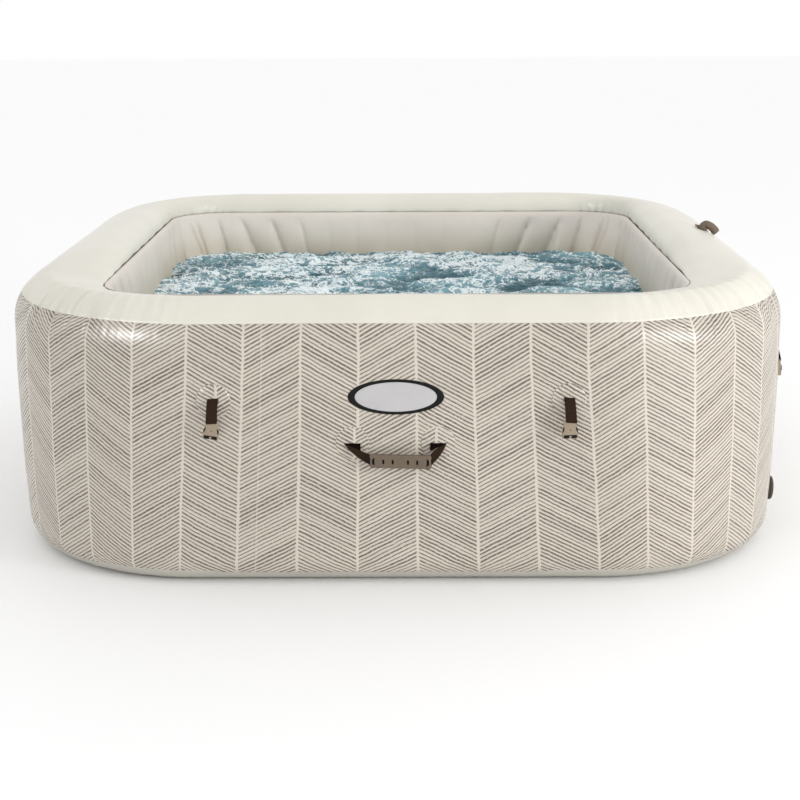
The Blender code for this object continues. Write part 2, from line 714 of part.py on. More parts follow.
def drain_valve():
    place = axis_out(wall_place(RIGHT, DRAIN_Y, DRAIN_Z))
    inner = INNER_HALF_WIDTH - HALF_WIDTH + wall_inset(DRAIN_Z) - 0.006
    profile = [
        (0.009, inner - 0.004), (0.019, inner - 0.004), (0.019, inner - 0.0015),
        (DRAIN_RADIUS, inner - 0.0015), (DRAIN_RADIUS, 0.003), (0.0285, 0.003), (0.0285, 0.0055),
        (DRAIN_RADIUS, 0.0055), (DRAIN_RADIUS, 0.012), (0.009, 0.012),
    ]
    new_object("drain_valve_body", turned("drain_valve_body", profile, 16, closed=True), MOULDED, place)
    cap_place = place @ Matrix.Translation((0, 0, 0.0062))
    cap = new_object("drain_cap", knurled_cap("drain_cap", CAP_RADIUS, 0.0080, 16), DARK, cap_place)
    cut(cap, round_cutter("drain_cap_thread", DRAIN_RADIUS + 0.0005, -0.005, 0.0062, cap_place))
    bar = turning_bar("drain_cap_bar", 0.020, 0.0040, 0.0070, 0.0105)
    joined(cap, new_object("drain_cap_bar", bar, DARK, cap_place))
    return round_cutter("drain_path", DRAIN_RADIUS + GAP, -0.35, 0.05, place)


# Inflation valve


def inflation_valve():
    place = axis_out(wall_place(RIGHT, VALVE_Y, VALVE_Z))
    body = [
        (0.0135, 0.0090), (0.0165, 0.0090), (0.0165, 0.0030), (0.0290, 0.0022), (0.0290, 0.0006),
        (0.0170, 0.0006), (0.0170, -0.0240), (0.0060, -0.0240), (0.0060, -0.0215), (0.0135, -0.0215),
    ]
    new_object("inflation_valve_body", turned("inflation_valve_body", body, 16, closed=True), MOULDED, place)
    # The stem hangs through the seat at the bottom of the body, and its disc seals from inside the chamber.
    stem = [
        (0.0110, -0.0275), (0.0110, -0.0245), (0.0045, -0.0243), (0.0045, -0.0030), (0.0080, -0.0028),
        (0.0080, 0.0000), (0.0040, 0.0008),
    ]
    new_object("inflation_valve_stem", turned("inflation_valve_stem", stem, 12), CREAM, place)
    new_object("inflation_valve_spring", spring_mesh(), STEEL, place)
    cap_place = place @ Matrix.Translation((0, 0, 0.0033))
    cap_mesh = knurled_cap("inflation_valve_cap", 0.0220, 0.0095, 14)
    cap = new_object("inflation_valve_cap", cap_mesh, MOULDED, cap_place)
    cut(cap, round_cutter("valve_cap_thread", 0.0170, -0.005, 0.0065, cap_place))
    return round_cutter("valve_path", 0.0170 + GAP, -0.06, 0.02, place)


def spring_mesh():
    """A coil round the stem, from the seat up to the button."""
    wire, radius, turns, low, high, steps = 0.0006, 0.0064, 3.0, -0.0206, -0.0068, 8
    loops = []
    count = int(turns * steps)
    for i in range(count + 1):
        a = 2 * math.pi * i / steps
        out = Vector((math.cos(a), math.sin(a), 0))
        middle = out * radius + Vector((0, 0, low + (high - low) * i / count))
        loops.append([
            middle + out * wire * math.cos(k * math.pi / 2) + Vector((0, 0, wire * math.sin(k * math.pi / 2)))
            for k in range(4)
        ])
    return lofted("inflation_valve_spring", loops)


# Air inlet


def elbow_place():
    """The socket's place on the right shoulder: local Z leaves the shoulder square, X points outwards."""
    z = WIDEST_Z + (HEIGHT - WIDEST_Z) * math.sqrt(1 - (1 - ELBOW_INSET / SHOULDER_REACH) ** 2)
    shift = Matrix.Translation((HALF_WIDTH - ELBOW_INSET, PORT_MIDDLE, z))
    return shift @ Matrix.Rotation(ELBOW_TILT, 4, "Y")


def air_inlet():
    place = elbow_place()
    bore, neck, flange, lip = 0.0075, 0.0118, 0.0050, 0.0102
    socket = [
        (bore, -0.018), (neck, -0.018), (neck, 0.0008), (0.0215, 0.0008), (0.0205, 0.0022),
        (neck, 0.0022), (neck, flange), (bore, flange),
    ]
    new_object("air_inlet_socket", turned("air_inlet_socket", socket, 16, closed=True), MOULDED, place)
    collar = [
        (neck + 0.0004, 0.0026), (0.0158, 0.0026), (0.0158, 0.0064), (0.0150, 0.0072), (lip, 0.0072),
        (lip, flange + 0.0014), (neck + 0.0004, flange + 0.0014),
    ]
    new_object("air_elbow_collar", turned("air_elbow_collar", collar, 16, closed=True), MOULDED, place)
    # The elbow stands on the socket, held by its flange under the collar, and bends out over the shoulder.
    start, bend = flange + 0.0016, 0.0108
    centres = [(0.0, flange + GAP), (0.0, flange + 0.0010), (0.0, flange + 0.0011), (0.0, start)]
    radii = [neck, neck, ELBOW_RADIUS, ELBOW_RADIUS]
    for i in range(1, 6):
        a = math.pi / 2 * i / 5
        centres.append((bend * (1 - math.cos(a)), start + bend * math.sin(a)))
        radii.append(ELBOW_RADIUS)
    for reach, drop in ((0.023, 0.0006), (0.034, 0.0036), (0.043, 0.0074)):
        centres.append((reach, start + bend - drop))
        radii.append(ELBOW_RADIUS)
    new_object("air_elbow", tube("air_elbow", centres, radii, 12, bore=bore), MOULDED, place)
    return round_cutter("socket_path", neck + GAP, -0.03, 0.03, place)


def air_duct():
    """Inside the chamber, from the socket down to the bubble channel."""
    place = elbow_place()
    top, bend = (place @ Vector((0, 0, depth)) for depth in (-0.0184, -0.0300))
    foot_z = 0.026
    route = [
        (top.x, top.z), (bend.x, bend.z), (bend.x - 0.006, bend.z - 0.06), (bend.x - 0.02, 0.30),
        (bend.x - 0.03, 0.12), (bend.x - 0.042, 0.06), (bend.x - 0.070, foot_z + 0.004),
        (INNER_HALF_WIDTH + 0.03, foot_z), (INNER_HALF_WIDTH - 0.006, foot_z),
    ]
    mesh = tube("air_duct", route, [DUCT_RADIUS] * len(route), 10, bore=DUCT_RADIUS - 0.0015)
    new_object("air_duct", mesh, WEB, Matrix.Translation((0, PORT_MIDDLE, 0)))
    hole = Matrix.Translation((INNER_HALF_WIDTH, PORT_MIDDLE, foot_z)) @ Matrix.Rotation(math.pi / 2, 4, "Y")
    return round_cutter("duct_path", DUCT_RADIUS + 0.0012, -0.02, 0.02, hole)


def build():
    wall, rim, liner = outer_wall(), top_sheet(), inner_wall()
    floor_sheet()
    base_sheet()
    web = tension_web()
    cut(bubble_channel(), bubble_hole_cutter())
    cover_locks()
    handles()
    badge()
    pipes = water_ports()
    pipes.append(drain_valve())
    valve = inflation_valve()
    socket = air_inlet()
    duct = air_duct()
    cut(wall, *pipes, valve)
    cut(liner, *pipes, duct)
    cut(web, *pipes, valve)
    cut(rim, socket)


build()
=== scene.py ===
import json
import math

import bmesh
import bpy
import numpy as np
from mathutils import Matrix, Vector


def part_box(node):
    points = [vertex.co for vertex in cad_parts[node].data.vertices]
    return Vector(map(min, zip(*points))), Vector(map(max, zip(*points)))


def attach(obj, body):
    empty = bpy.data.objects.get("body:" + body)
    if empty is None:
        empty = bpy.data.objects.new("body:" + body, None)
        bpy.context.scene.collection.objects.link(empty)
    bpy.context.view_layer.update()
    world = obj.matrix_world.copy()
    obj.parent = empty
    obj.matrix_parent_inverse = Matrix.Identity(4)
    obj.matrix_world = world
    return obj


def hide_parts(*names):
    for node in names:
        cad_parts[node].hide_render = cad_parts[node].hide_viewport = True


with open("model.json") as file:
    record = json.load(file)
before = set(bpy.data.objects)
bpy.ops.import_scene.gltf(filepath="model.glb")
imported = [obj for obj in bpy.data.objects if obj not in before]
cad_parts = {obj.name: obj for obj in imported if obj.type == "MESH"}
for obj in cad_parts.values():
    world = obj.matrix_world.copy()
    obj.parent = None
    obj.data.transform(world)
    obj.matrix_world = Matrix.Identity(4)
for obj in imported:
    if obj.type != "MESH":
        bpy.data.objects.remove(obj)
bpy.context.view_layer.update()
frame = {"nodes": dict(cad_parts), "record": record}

# Sizes from the frame

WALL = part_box("outer_wall")
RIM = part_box("top_sheet")
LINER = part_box("inner_wall")
HALF_WIDTH = WALL[1].x
CREST_Z = RIM[1].z
OUTER_SEAM_Z = WALL[1].z
INNER_SEAM_Z = LINER[1].z
BASE_SEAM_Z = WALL[0].z
SHEET = 0.002  # how thick the CAD sheets are drawn
INNER_HALF = LINER[1].x - SHEET
WALL_DEPTH = HALF_WIDTH - INNER_HALF

# The tub's section and plan, as in the CAD
WIDEST_Z = 0.553
SHOULDER_REACH = 0.184
BASE_ROUNDING = 0.073
BASE_INSET = 0.0143
CORNER_RADIUS = 0.535
BASE_CORNER_RADIUS = 0.49
INNER_CORNER_RADIUS = 0.165
CORNER_PINCH = CORNER_RADIUS - WALL_DEPTH - INNER_CORNER_RADIUS
TIE_SPACING = 0.10
SETTLE_SLOPE = 0.184
SETTLE_EASE = 0.012
SETTLE_FROM = 0.08
SETTLE_OVER = 0.62
WATER_Z = 0.514
FRONT, RIGHT, BACK, LEFT = range(4)
SIDE_NAMES = ("front", "right", "back", "left")

scene = bpy.context.scene


# Shader graphs


class Number:
    """A value in a material's graph: plain arithmetic on it adds the maths nodes."""

    def __init__(self, graph, socket):
        self.graph = graph
        self.socket = socket

    def __add__(self, other):
        return self.graph.math("ADD", self, other)

    def __sub__(self, other):
        return self.graph.math("SUBTRACT", self, other)

    def __rsub__(self, other):
        return self.graph.math("SUBTRACT", other, self)

    def __mul__(self, other):
        return self.graph.math("MULTIPLY", self, other)

    def __truediv__(self, other):
        return self.graph.math("DIVIDE", self, other)

    def __mod__(self, other):
        return self.graph.math("FLOORED_MODULO", self, other)

    def __abs__(self):
        return self.graph.math("ABSOLUTE", self)

    def __floor__(self):
        return self.graph.math("FLOOR", self)


class Graph:
    """A material's node graph, with short calls for the nodes used here."""

    def __init__(self, name):
        self.material = bpy.data.materials.new(name)
        self.material.use_nodes = True
        self.tree = self.material.node_tree
        self.shader = self.tree.nodes["Principled BSDF"]

    def put(self, socket, value):
        if isinstance(value, Number):
            self.tree.links.new(value.socket, socket)
        elif isinstance(value, tuple) and socket.type == "RGBA":
            socket.default_value = (*value, 1.0)
        else:
            socket.default_value = value

    def wired(self, kind, output, entries, **settings):
        """One output of a new node, whose inputs are set or linked by name or number."""
        made = self.tree.nodes.new(kind)
        for key, value in settings.items():
            setattr(made, key, value)
        for key, value in entries.items():
            self.put(made.inputs[key], value)
        return Number(self, made.outputs[output])

    def math(self, operation, *values, clamp=False):
        return self.wired("ShaderNodeMath", 0, dict(enumerate(values)), operation=operation, use_clamp=clamp)

    def smooth(self, value, low, high, to_low=0.0, to_high=1.0):
        """Eases from to_low to to_high as the value goes from low to high."""
        entries = {"Value": value, "From Min": low, "From Max": high, "To Min": to_low, "To Max": to_high}
        return self.wired("ShaderNodeMapRange", 0, entries, interpolation_type="SMOOTHSTEP")

    def mix(self, share, a, b):
        return self.wired("ShaderNodeMix", 2, {0: share, 6: a, 7: b}, data_type="RGBA")

    def combine(self, x, y, z=0.0):
        return self.wired("ShaderNodeCombineXYZ", 0, {0: x, 1: y, 2: z})

    def noise(self, vector, scale, detail=2.0, roughness=0.5, distortion=0.0):
        entries = {"Vector": vector, "Scale": scale, "Detail": detail}
        entries |= {"Roughness": roughness, "Distortion": distortion}
        return self.wired("ShaderNodeTexNoise", "Fac", entries)

    def white(self, vector):
        return self.wired("ShaderNodeTexWhiteNoise", "Value", {"Vector": vector}, noise_dimensions="3D")

    def place(self):
        return self.wired("ShaderNodeTexCoord", "Object", {})

    def split(self, vector):
        made = self.tree.nodes.new("ShaderNodeSeparateXYZ")
        self.put(made.inputs[0], vector)
        return [Number(self, socket) for socket in made.outputs]

    def uv(self):
        return self.split(self.wired("ShaderNodeTexCoord", "UV", {}))[:2]

    def bump(self, height, distance, strength=1.0):
        """Lays one more relief on those the shader already has."""
        entries = {"Height": height, "Distance": distance, "Strength": strength}
        normal = self.shader.inputs["Normal"]
        if normal.is_linked:
            entries["Normal"] = Number(self, normal.links[0].from_socket)
        self.put(normal, self.wired("ShaderNodeBump", 0, entries))

    def finish(self, **inputs):
        """Sets the shader's inputs by name, and gives the material."""
        for key, value in inputs.items():
            self.put(self.shader.inputs[key.replace("_", " ").title().replace("Ior", "IOR")], value)
        return self.material


COLUMN_WIDTH = 0.1284
LINE_PITCH = 0.00975
LINE_SLOPE = 0.58
COLUMN_GAP = 0.0036
LINE_ENDS = 0.5 - 0.5 * COLUMN_GAP / COLUMN_WIDTH  # from the middle of a column, in column widths
WELD_AT = 0.345  # a welded seam in the printed sheet, before the print's start


def vinyl_grain(graph, place):
    """The calendered surface of the sheet: a fine pebble, and slow waves in the gloss."""
    graph.bump(graph.noise(place, 900.0, 3.0, 0.6), 0.00012)
    graph.bump(graph.noise(place, 9.0, 3.0, 0.5), 0.0035)


def printed_vinyl():
    """Herringbone of hand-drawn lines. UV is the distance round the tub and up the sheet, in metres."""
    graph = Graph("printed_vinyl_look")
    u, v = graph.uv()
    place = graph.place()
    sway = (graph.noise(place, 7.0, 2.0) - 0.5) * 0.006
    u_column = (u + sway) / COLUMN_WIDTH
    column = math.floor(u_column)
    across = u_column - column - 0.5
    lean = 1.0 - column % 2.0 * 2.0
    # A line climbs across its column, with a slow waver as if drawn by hand.
    climb = across * lean * (COLUMN_WIDTH * LINE_SLOPE)
    offset = graph.white(graph.combine(column, 3.7)) * LINE_PITCH
    waver = (graph.noise(place, 38.0, 2.0) - 0.5) * 0.0042
    steps = ((v + climb) + (waver + offset)) / LINE_PITCH
    line = math.floor(steps)
    edge = abs(steps - line - 0.5)
    key = graph.white(graph.combine(column, line))
    second = graph.white(graph.combine(line, column, 5.0))
    # Width and tone change from line to line, and along each line.
    swell = graph.noise(graph.combine(u * 30.0, line * 3.1, column), 1.0, 2.0)
    half = (key + swell) * 0.085 + 0.135
    ink = graph.smooth(edge, half - 0.045, half + 0.035, 1.0, 0.0)
    # The lines stop short of the column's edges, some sooner than others, and the ink is dry in places.
    reach = LINE_ENDS - second * 0.012
    ends = graph.smooth(abs(across), reach - 0.006, reach, 1.0, 0.0)
    dry = graph.smooth(graph.noise(place, 260.0, 2.0, 0.6), 0.30, 0.52, 0.55, 1.0)
    ink = ink * ends * dry
    dark = graph.mix(key * 0.55 + swell * 0.45, (0.036, 0.026, 0.019), (0.130, 0.101, 0.077))
    ground = graph.mix(graph.noise(place, 3.5, 3.0), (0.565, 0.511, 0.434), (0.640, 0.584, 0.502))
    # Faint second strokes run between the lines.
    twin = graph.smooth(abs(edge - 0.42), 0.02, 0.10, 1.0, 0.0) * ends * (second * 0.30)
    ground = graph.mix(twin, ground, (0.26, 0.22, 0.18))
    colour = graph.mix(ink * (key * 0.24 + 0.76), ground, dark)
    weld = graph.smooth(abs(u + WELD_AT), 0.0010, 0.0028, 1.0, 0.0)
    colour = graph.mix(weld * 0.35, colour, (0.62, 0.57, 0.50))
    graph.bump(weld, 0.0008)
    graph.bump(ink, 0.00010, 0.6)
    vinyl_grain(graph, place)
    roughness = graph.noise(place, 5.0, 3.0) * 0.16 + 0.30 + ink * 0.06
    return graph.finish(base_color=colour, roughness=roughness, coat_weight=0.25, coat_roughness=0.25)


def plain_vinyl(name, light, shade, low, rough=0.34, coat=0.2):
    """Plain sheet. low = (z, z, colour): painted shade, that colour below the first height, easing out up to
    the second.
    """
    graph = Graph(name)
    place = graph.place()
    mottle = graph.smooth(graph.noise(place, 4.0, 4.0, 0.55), 0.30, 0.70)
    specks = graph.smooth(graph.noise(place, 120.0, 2.0, 0.6), 0.60, 0.78, 0.0, 0.05)
    colour = graph.mix(mottle, shade, light)
    colour = graph.mix(specks, colour, tuple(c * 0.72 for c in shade))
    # Painted shade: the sheet darkens towards its bottom.
    colour = graph.mix(graph.smooth(graph.split(place)[2], low[0], low[1], 1.0, 0.0), colour, low[2])
    vinyl_grain(graph, place)
    roughness = graph.noise(place, 14.0, 5.0, 0.7) * 0.16 + rough
    return graph.finish(base_color=colour, roughness=roughness, coat_weight=coat, coat_roughness=0.22)


def webbing():
    """Flat woven strap. UV runs along and across it, in metres."""
    weft_pitch, warp_pitch = 0.0013, 0.0016
    graph = Graph("webbing_look")
    u, v = graph.uv()
    warp = graph.math("SINE", v * (math.tau / warp_pitch))
    weft = graph.math("SINE", u * (math.tau / weft_pitch))
    shift = graph.math("SINE", u * (math.pi / weft_pitch) + v * (math.pi / warp_pitch))
    weave = warp * shift + weft * 0.5
    fibre = graph.noise(graph.place(), 1400.0, 2.0)
    colour = graph.mix(graph.smooth(weave, -1.2, 1.3), (0.010, 0.0055, 0.0035), (0.040, 0.022, 0.013))
    colour = graph.mix(fibre * 0.25, colour, (0.070, 0.042, 0.027))
    graph.bump(weave, 0.00025)
    return graph.finish(base_color=colour, roughness=fibre * 0.25 + 0.62, specular_ior_level=0.06)


def moulded(name, light, shade, rough=0.42, grain=1.0, gloss=0.25):
    """Injection-moulded plastic with a spark-eroded grain and rubbed places."""
    graph = Graph(name)
    place = graph.place()
    rubbed = graph.noise(place, 160.0, 4.0, 0.65)
    colour = graph.mix(graph.noise(place, 35.0, 3.0), shade, light)
    worn = tuple(min(1.0, c * 1.5 + 0.03) for c in light)
    colour = graph.mix(graph.smooth(rubbed, 0.62, 0.80, 0.0, 0.22), colour, worn)
    graph.bump(graph.noise(place, 2600.0, 2.0), 0.00006 * grain)
    return graph.finish(base_color=colour, roughness=rubbed * 0.14 + rough, specular_ior_level=gloss)


def coated_mesh():
    """The ties inside the wall: coated fabric with its grid showing."""
    graph = Graph("tie_web_look")
    place = graph.place()
    wave = graph.wired("ShaderNodeTexWave", "Fac", {"Vector": place, "Scale": 120.0}, bands_direction="Z")
    colour = graph.mix(wave, (0.60, 0.60, 0.56), (0.78, 0.78, 0.74))
    graph.bump(wave, 0.0002)
    return graph.finish(base_color=colour, roughness=graph.noise(place, 60.0) * 0.2 + 0.5)


def rubber():
    graph = Graph("seal_look")
    dust = graph.noise(graph.place(), 220.0, 4.0, 0.6)
    colour = graph.mix(graph.smooth(dust, 0.45, 0.8), (0.016, 0.016, 0.017), (0.055, 0.052, 0.050))
    graph.bump(dust, 0.00005)
    return graph.finish(base_color=colour, roughness=dust * 0.3 + 0.6)


def spring_steel():
    graph = Graph("spring_look")
    drawn = graph.noise(graph.place(), 800.0, 3.0)
    colour = graph.mix(drawn, (0.42, 0.41, 0.40), (0.66, 0.65, 0.63))
    return graph.finish(base_color=colour, roughness=drawn * 0.2 + 0.22, metallic=1.0)


def badge_plate():
    """A light silvery plate; the field is blank."""
    graph = Graph("badge_plate_look")
    place = graph.place()
    fleck = graph.noise(place, 1800.0, 2.0)
    colour = graph.mix(graph.noise(place, 18.0, 2.0), (0.440, 0.432, 0.432), (0.520, 0.512, 0.512))
    colour = graph.mix(graph.smooth(fleck, 0.5, 0.8, 0.0, 0.35), colour, (0.68, 0.68, 0.68))
    graph.bump(fleck, 0.00003)
    return graph.finish(base_color=colour, roughness=fleck * 0.12 + 0.26)


def water_look():
    """Churned water, with lace-like foam on the crests; the teal is painted darker in the troughs as shade
    and paler on the faces as light.
    """
    graph = Graph("water_look")
    place = graph.place()
    rise = graph.smooth(graph.split(place)[2], WATER_Z - 0.016, WATER_Z + 0.022)
    flow = graph.wired("ShaderNodeMapping", 0, {"Scale": (0.85, 0.80, 1.0), "Vector": place})
    swirl = graph.noise(flow, 16.0, 6.0, 0.62, 1.4)
    fine = graph.noise(flow, 52.0, 6.0, 0.68, 1.0)
    broad = graph.noise(flow, 3.2, 2.0)

    def lace(value, width):
        return graph.math("SUBTRACT", 1.0, abs(value - 0.5) * width, clamp=True)

    strands = lace(swirl, 13.0) * 0.75 + lace(fine, 10.0) * 0.62
    foam = strands * (rise * 0.75 + graph.smooth(broad, 0.38, 0.62, 0.12, 0.80))
    # Painted shade and light: darker teal low in the troughs, paler teal up the wave faces.
    depth = graph.smooth(rise * 0.55 + fine * 0.55, 0.26, 0.88)
    teal_painted_shade_and_light = graph.mix(depth, (0.014, 0.072, 0.098), (0.205, 0.400, 0.462))
    colour = graph.mix(graph.smooth(foam, 0.38, 0.80), teal_painted_shade_and_light, (0.88, 0.95, 0.97))
    graph.bump(swirl + fine * 0.55, 0.014)
    roughness = graph.smooth(foam, 0.3, 1.0, 0.10, 0.45)
    return graph.finish(base_color=colour, roughness=roughness, ior=1.333, specular_ior_level=0.30)


def floor_look():
    graph = Graph("floor_look")
    colour = graph.mix(graph.noise(graph.place(), 0.6, 3.0), (0.955, 0.955, 0.957), (0.965, 0.965, 0.967))
    return graph.finish(base_color=colour, roughness=0.6)


PRINT = printed_vinyl()
# Painted shade: the cream foot band darkens near the floor, for the shadow under the tub.
CREAM_PAINTED_FOOT_SHADE = (BASE_SEAM_Z, 0.30, (0.47, 0.45, 0.395))
CREAM = plain_vinyl("cream_vinyl_look", (0.725, 0.703, 0.618), (0.680, 0.658, 0.575), CREAM_PAINTED_FOOT_SHADE)
# Painted shade: the liner turns darker and more tan down towards the water, in the basin's shade.
LINER_PAINTED_LOW_SHADE = (0.50, 0.625, (0.52, 0.470, 0.370))
LINER_LOOK = plain_vinyl("liner_vinyl_look", (0.70, 0.655, 0.60), (0.65, 0.60, 0.545), LINER_PAINTED_LOW_SHADE, 0.42, 0.05)
WEBBING = webbing()
TAUPE = moulded("taupe_plastic_look", (0.162, 0.124, 0.090), (0.122, 0.091, 0.064))
BEIGE = moulded("beige_plastic_look", (0.335, 0.270, 0.200), (0.275, 0.218, 0.158), 0.36)
# Dark plastic for the parts that are dark, and painted shade in the buckles' mouths and marks, the grips'
# slots and the strainers' slots.
DARK_PLASTIC_AND_PAINTED_SHADE = moulded("dark_plastic_and_painted_shade_look", (0.012, 0.011, 0.010), (0.007, 0.006, 0.006), 0.45, gloss=0.10)
CAP_BROWN = moulded("cap_plastic_look", (0.070, 0.058, 0.046), (0.045, 0.037, 0.030), 0.40)
PALE = moulded("pale_plastic_look", (0.80, 0.77, 0.69), (0.74, 0.71, 0.63), 0.36)
# Near-black painted shade for the inside of the handle straps' folds.
FOLD_PAINTED_SHADE = moulded("strap_fold_painted_shade_look", (0.008, 0.005, 0.004), (0.004, 0.0025, 0.002), 0.8, gloss=0.02)
BADGE_RIM = moulded("badge_rim_look", (0.0075, 0.0075, 0.008), (0.004, 0.004, 0.0045), 0.34, 0.4, 0.16)
TIES = coated_mesh()
SEAL = rubber()
STEEL = spring_steel()
PLATE = badge_plate()


# Mesh tools


def link(name, data, place=Matrix()):
    """Puts a mesh, a light or a camera in the scene."""
    obj = bpy.data.objects.new(name, data)
    scene.collection.objects.link(obj)
    obj.matrix_world = place
    return obj


def through_bmesh(mesh, change):
    """Edits a mesh's faces in place."""
    bm = bmesh.new()
    bm.from_mesh(mesh)
    change(bm)
    bm.to_mesh(mesh)
    bm.free()


def turn_outwards(bm):
    bmesh.ops.recalc_face_normals(bm, faces=bm.faces)


def ring_mesh(name, points, uvs=None):
    """A mesh over rows x columns of points, whose last column joins the first. UVs have one column more."""
    rows, columns = points.shape[:2]
    mesh = bpy.data.meshes.new(name)
    left = np.arange(rows * columns).reshape(rows, columns)
    right = np.roll(left, -1, 1)
    quads = np.stack([left[:-1], right[:-1], right[1:], left[1:]], -1).reshape(-1, 4)
    mesh.from_pydata(points.reshape(-1, 3).tolist(), [], quads.tolist())
    if uvs is not None:
        layer = mesh.uv_layers.new(name="sheet")
        corners = np.stack([uvs[:-1, :-1], uvs[:-1, 1:], uvs[1:, 1:], uvs[1:, :-1]], 2)
        layer.uv.foreach_set("vector", corners.reshape(-1).astype(np.float32))
    return mesh


def surface_normals(points):
    down = np.gradient(points, axis=0)
    across = (np.roll(points, -1, 1) - np.roll(points, 1, 1)) / 2
    normal = np.cross(across, down)
    return normal / np.maximum(np.linalg.norm(normal, axis=2, keepdims=True), 1e-12)


def hills(x, y, z, size, seed):
    """Smooth hills from a few crossed waves of one size, between about -2 and 2."""
    draw = np.random.default_rng(seed)
    total = 0.0
    for _ in range(7):
        way = draw.normal(size=3)
        way /= np.linalg.norm(way)
        phase = draw.uniform(0, math.tau)
        total = total + np.sin((x * way[0] + y * way[1] + z * way[2]) * math.tau / size + phase)
    return total / 3.5


def step_up(value, low, high):
    """Eases from 0 at low to 1 at high."""
    share = np.clip((value - low) / (high - low), 0.0, 1.0)
    return share * share * (3 - 2 * share)


# Plan and section


def wall_inset(z):
    """How far the wall stands inside its widest line, at a height."""
    z = np.asarray(z, float)
    under = np.maximum(BASE_ROUNDING - z, 0)
    foot = BASE_INSET + BASE_ROUNDING - np.sqrt(np.maximum(BASE_ROUNDING**2 - under**2, 0))
    lean = BASE_INSET * (1 - (z - BASE_ROUNDING) / (WIDEST_Z - BASE_ROUNDING)) ** 2
    rise = np.clip((z - WIDEST_Z) / (CREST_Z - WIDEST_Z), 0.0, 1.0)
    shoulder = SHOULDER_REACH * (1 - np.sqrt(1 - rise**2))
    return np.where(z < BASE_ROUNDING, foot, np.where(z < WIDEST_Z, lean, shoulder))


def corner_radius(inset, z):
    share = np.minimum(z / WIDEST_Z, 1.0)
    outer = BASE_CORNER_RADIUS + (CORNER_RADIUS - BASE_CORNER_RADIUS) * share
    return outer - inset - np.where(z > WIDEST_Z, CORNER_PINCH * (inset / WALL_DEPTH) ** 3, 0.0)


def stations(straight, corner):
    """Places round the plan from the middle of the back: quarter, share of the straight, corner angle."""
    quarter = np.repeat(range(4), straight + corner)
    share = np.tile([-1 + 2 * i / straight for i in range(straight)] + [1.0] * corner, 4)
    angle = np.tile([0.0] * straight + [math.pi / 2 * i / corner for i in range(corner)], 4)
    middle = straight + corner + straight // 2
    return tuple(np.roll(values, -middle) for values in (quarter, share, angle))


def ring_points(half, radius, z, places):
    """Points of rows (half width, corner radius, z) at the stations: an array rows x stations x 3."""
    quarter, share, angle = places
    half, radius, z = (np.asarray(v, float)[:, None] for v in (half, radius, z))
    x = half - radius + radius * np.cos(angle)
    y = share * (half - radius) + radius * np.sin(angle)
    cos, sin = np.cos(quarter * math.pi / 2), np.sin(quarter * math.pi / 2)
    return np.stack([x * cos - y * sin, x * sin + y * cos, z + 0 * x], -1)


def way_round(places, half, radius):
    """Distance round the widest line at each station, closed by the full length."""
    ring = ring_points([half], [radius], [0.0], places)[0]
    steps = np.linalg.norm(np.roll(ring, -1, 0) - ring, axis=1)
    return np.concatenate([[0.0], np.cumsum(steps)])


def settle(inset, z):
    """How far the front rim's crest sits below the other rims', at points of its section."""
    over = z - INNER_SEAM_Z - SETTLE_SLOPE * (WALL_DEPTH - inset)
    ease = SETTLE_EASE * (1 - inset / WALL_DEPTH)
    from_seam = np.clip((inset - wall_inset(OUTER_SEAM_Z)) / 0.05, 0.0, 1.0)
    return from_seam * (over + np.sqrt(over**2 + ease**2)) / 2


def along_rows(insets, heights):
    """Distance along the section at each of its points."""
    steps = np.hypot(np.diff(insets), np.diff(heights))
    return np.concatenate([[0.0], np.cumsum(steps)])


def corner_weight(places):
    """1 at the middle of each corner, 0 along the sides."""
    return np.sin(2 * places[2]) ** 0.8


def pleats(distance, spacing, seed, sharp=0.55):
    """Rounded folds with sharp creases between them, unevenly spaced: 0 at a crease, 1 between creases."""
    drift = 0.35 * spacing * hills(distance, 0 * distance, 0 * distance, spacing * 3.1, seed)
    return np.abs(np.sin(math.pi * (distance + drift) / spacing)) ** sharp


def stands_for(obj, body, node):
    """The piece rides on the body and is seen in place of the CAD node."""
    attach(obj, body)
    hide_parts(node)


# The tub's sheets

STRAIGHT_STEPS = 124
CORNER_STEPS = 104
PRINT_GAP_X = 0.045  # a gap between columns of the print falls here on the front

# Folds: how far apart they stand, and the seed that spaces them. Sheets that share a seam share its folds.
SEAM_FOLDS = (0.021, 11)
SEAM_FOLD_DEPTH = 0.0080
FINE_FOLDS = (0.012, 12)
FINE_FOLD_DEPTH = 0.0036
FOOT_FOLDS = (0.024, 13)
SLOW_FOOT_FOLDS = (0.05, 14)

LINER_TIES = 0.095  # from tie to tie round the basin
LINER_BULGE = 0.030
CORNER_BULGE = 0.048


def folds(distance, spacing, seed, sharp=0.55):
    """One row of pushes: 0 between creases, -1 at a crease."""
    return pleats(distance, spacing, seed, sharp)[None, :] - 1


def wall_hills(x, y, z):
    """The long unevenness of the blown-up sheet, the same on both sides of the seam."""
    return 0.0014 * hills(x, y, z * 0.6, 0.42, 5) + 0.0006 * hills(x, y, z, 0.13, 6) + 0.0002


def print_start(places):
    """The distance round the tub at which the print's first column starts, on the front."""
    ring = ring_points([HALF_WIDTH], [CORNER_RADIUS], [0.0], places)[0]
    front = np.argmin(np.hypot(ring[:, 0] - PRINT_GAP_X, ring[:, 1] + HALF_WIDTH))
    return way_round(places, HALF_WIDTH, CORNER_RADIUS)[front] + (PRINT_GAP_X - ring[front, 0])


def outer_uvs(places, rows_along, start):
    """UV in metres: the distance round the tub from a chosen point, and the distance up the sheet."""
    u = way_round(places, HALF_WIDTH, CORNER_RADIUS) - start
    return np.stack(np.broadcast_arrays(u[None, :], rows_along[:, None]), -1)


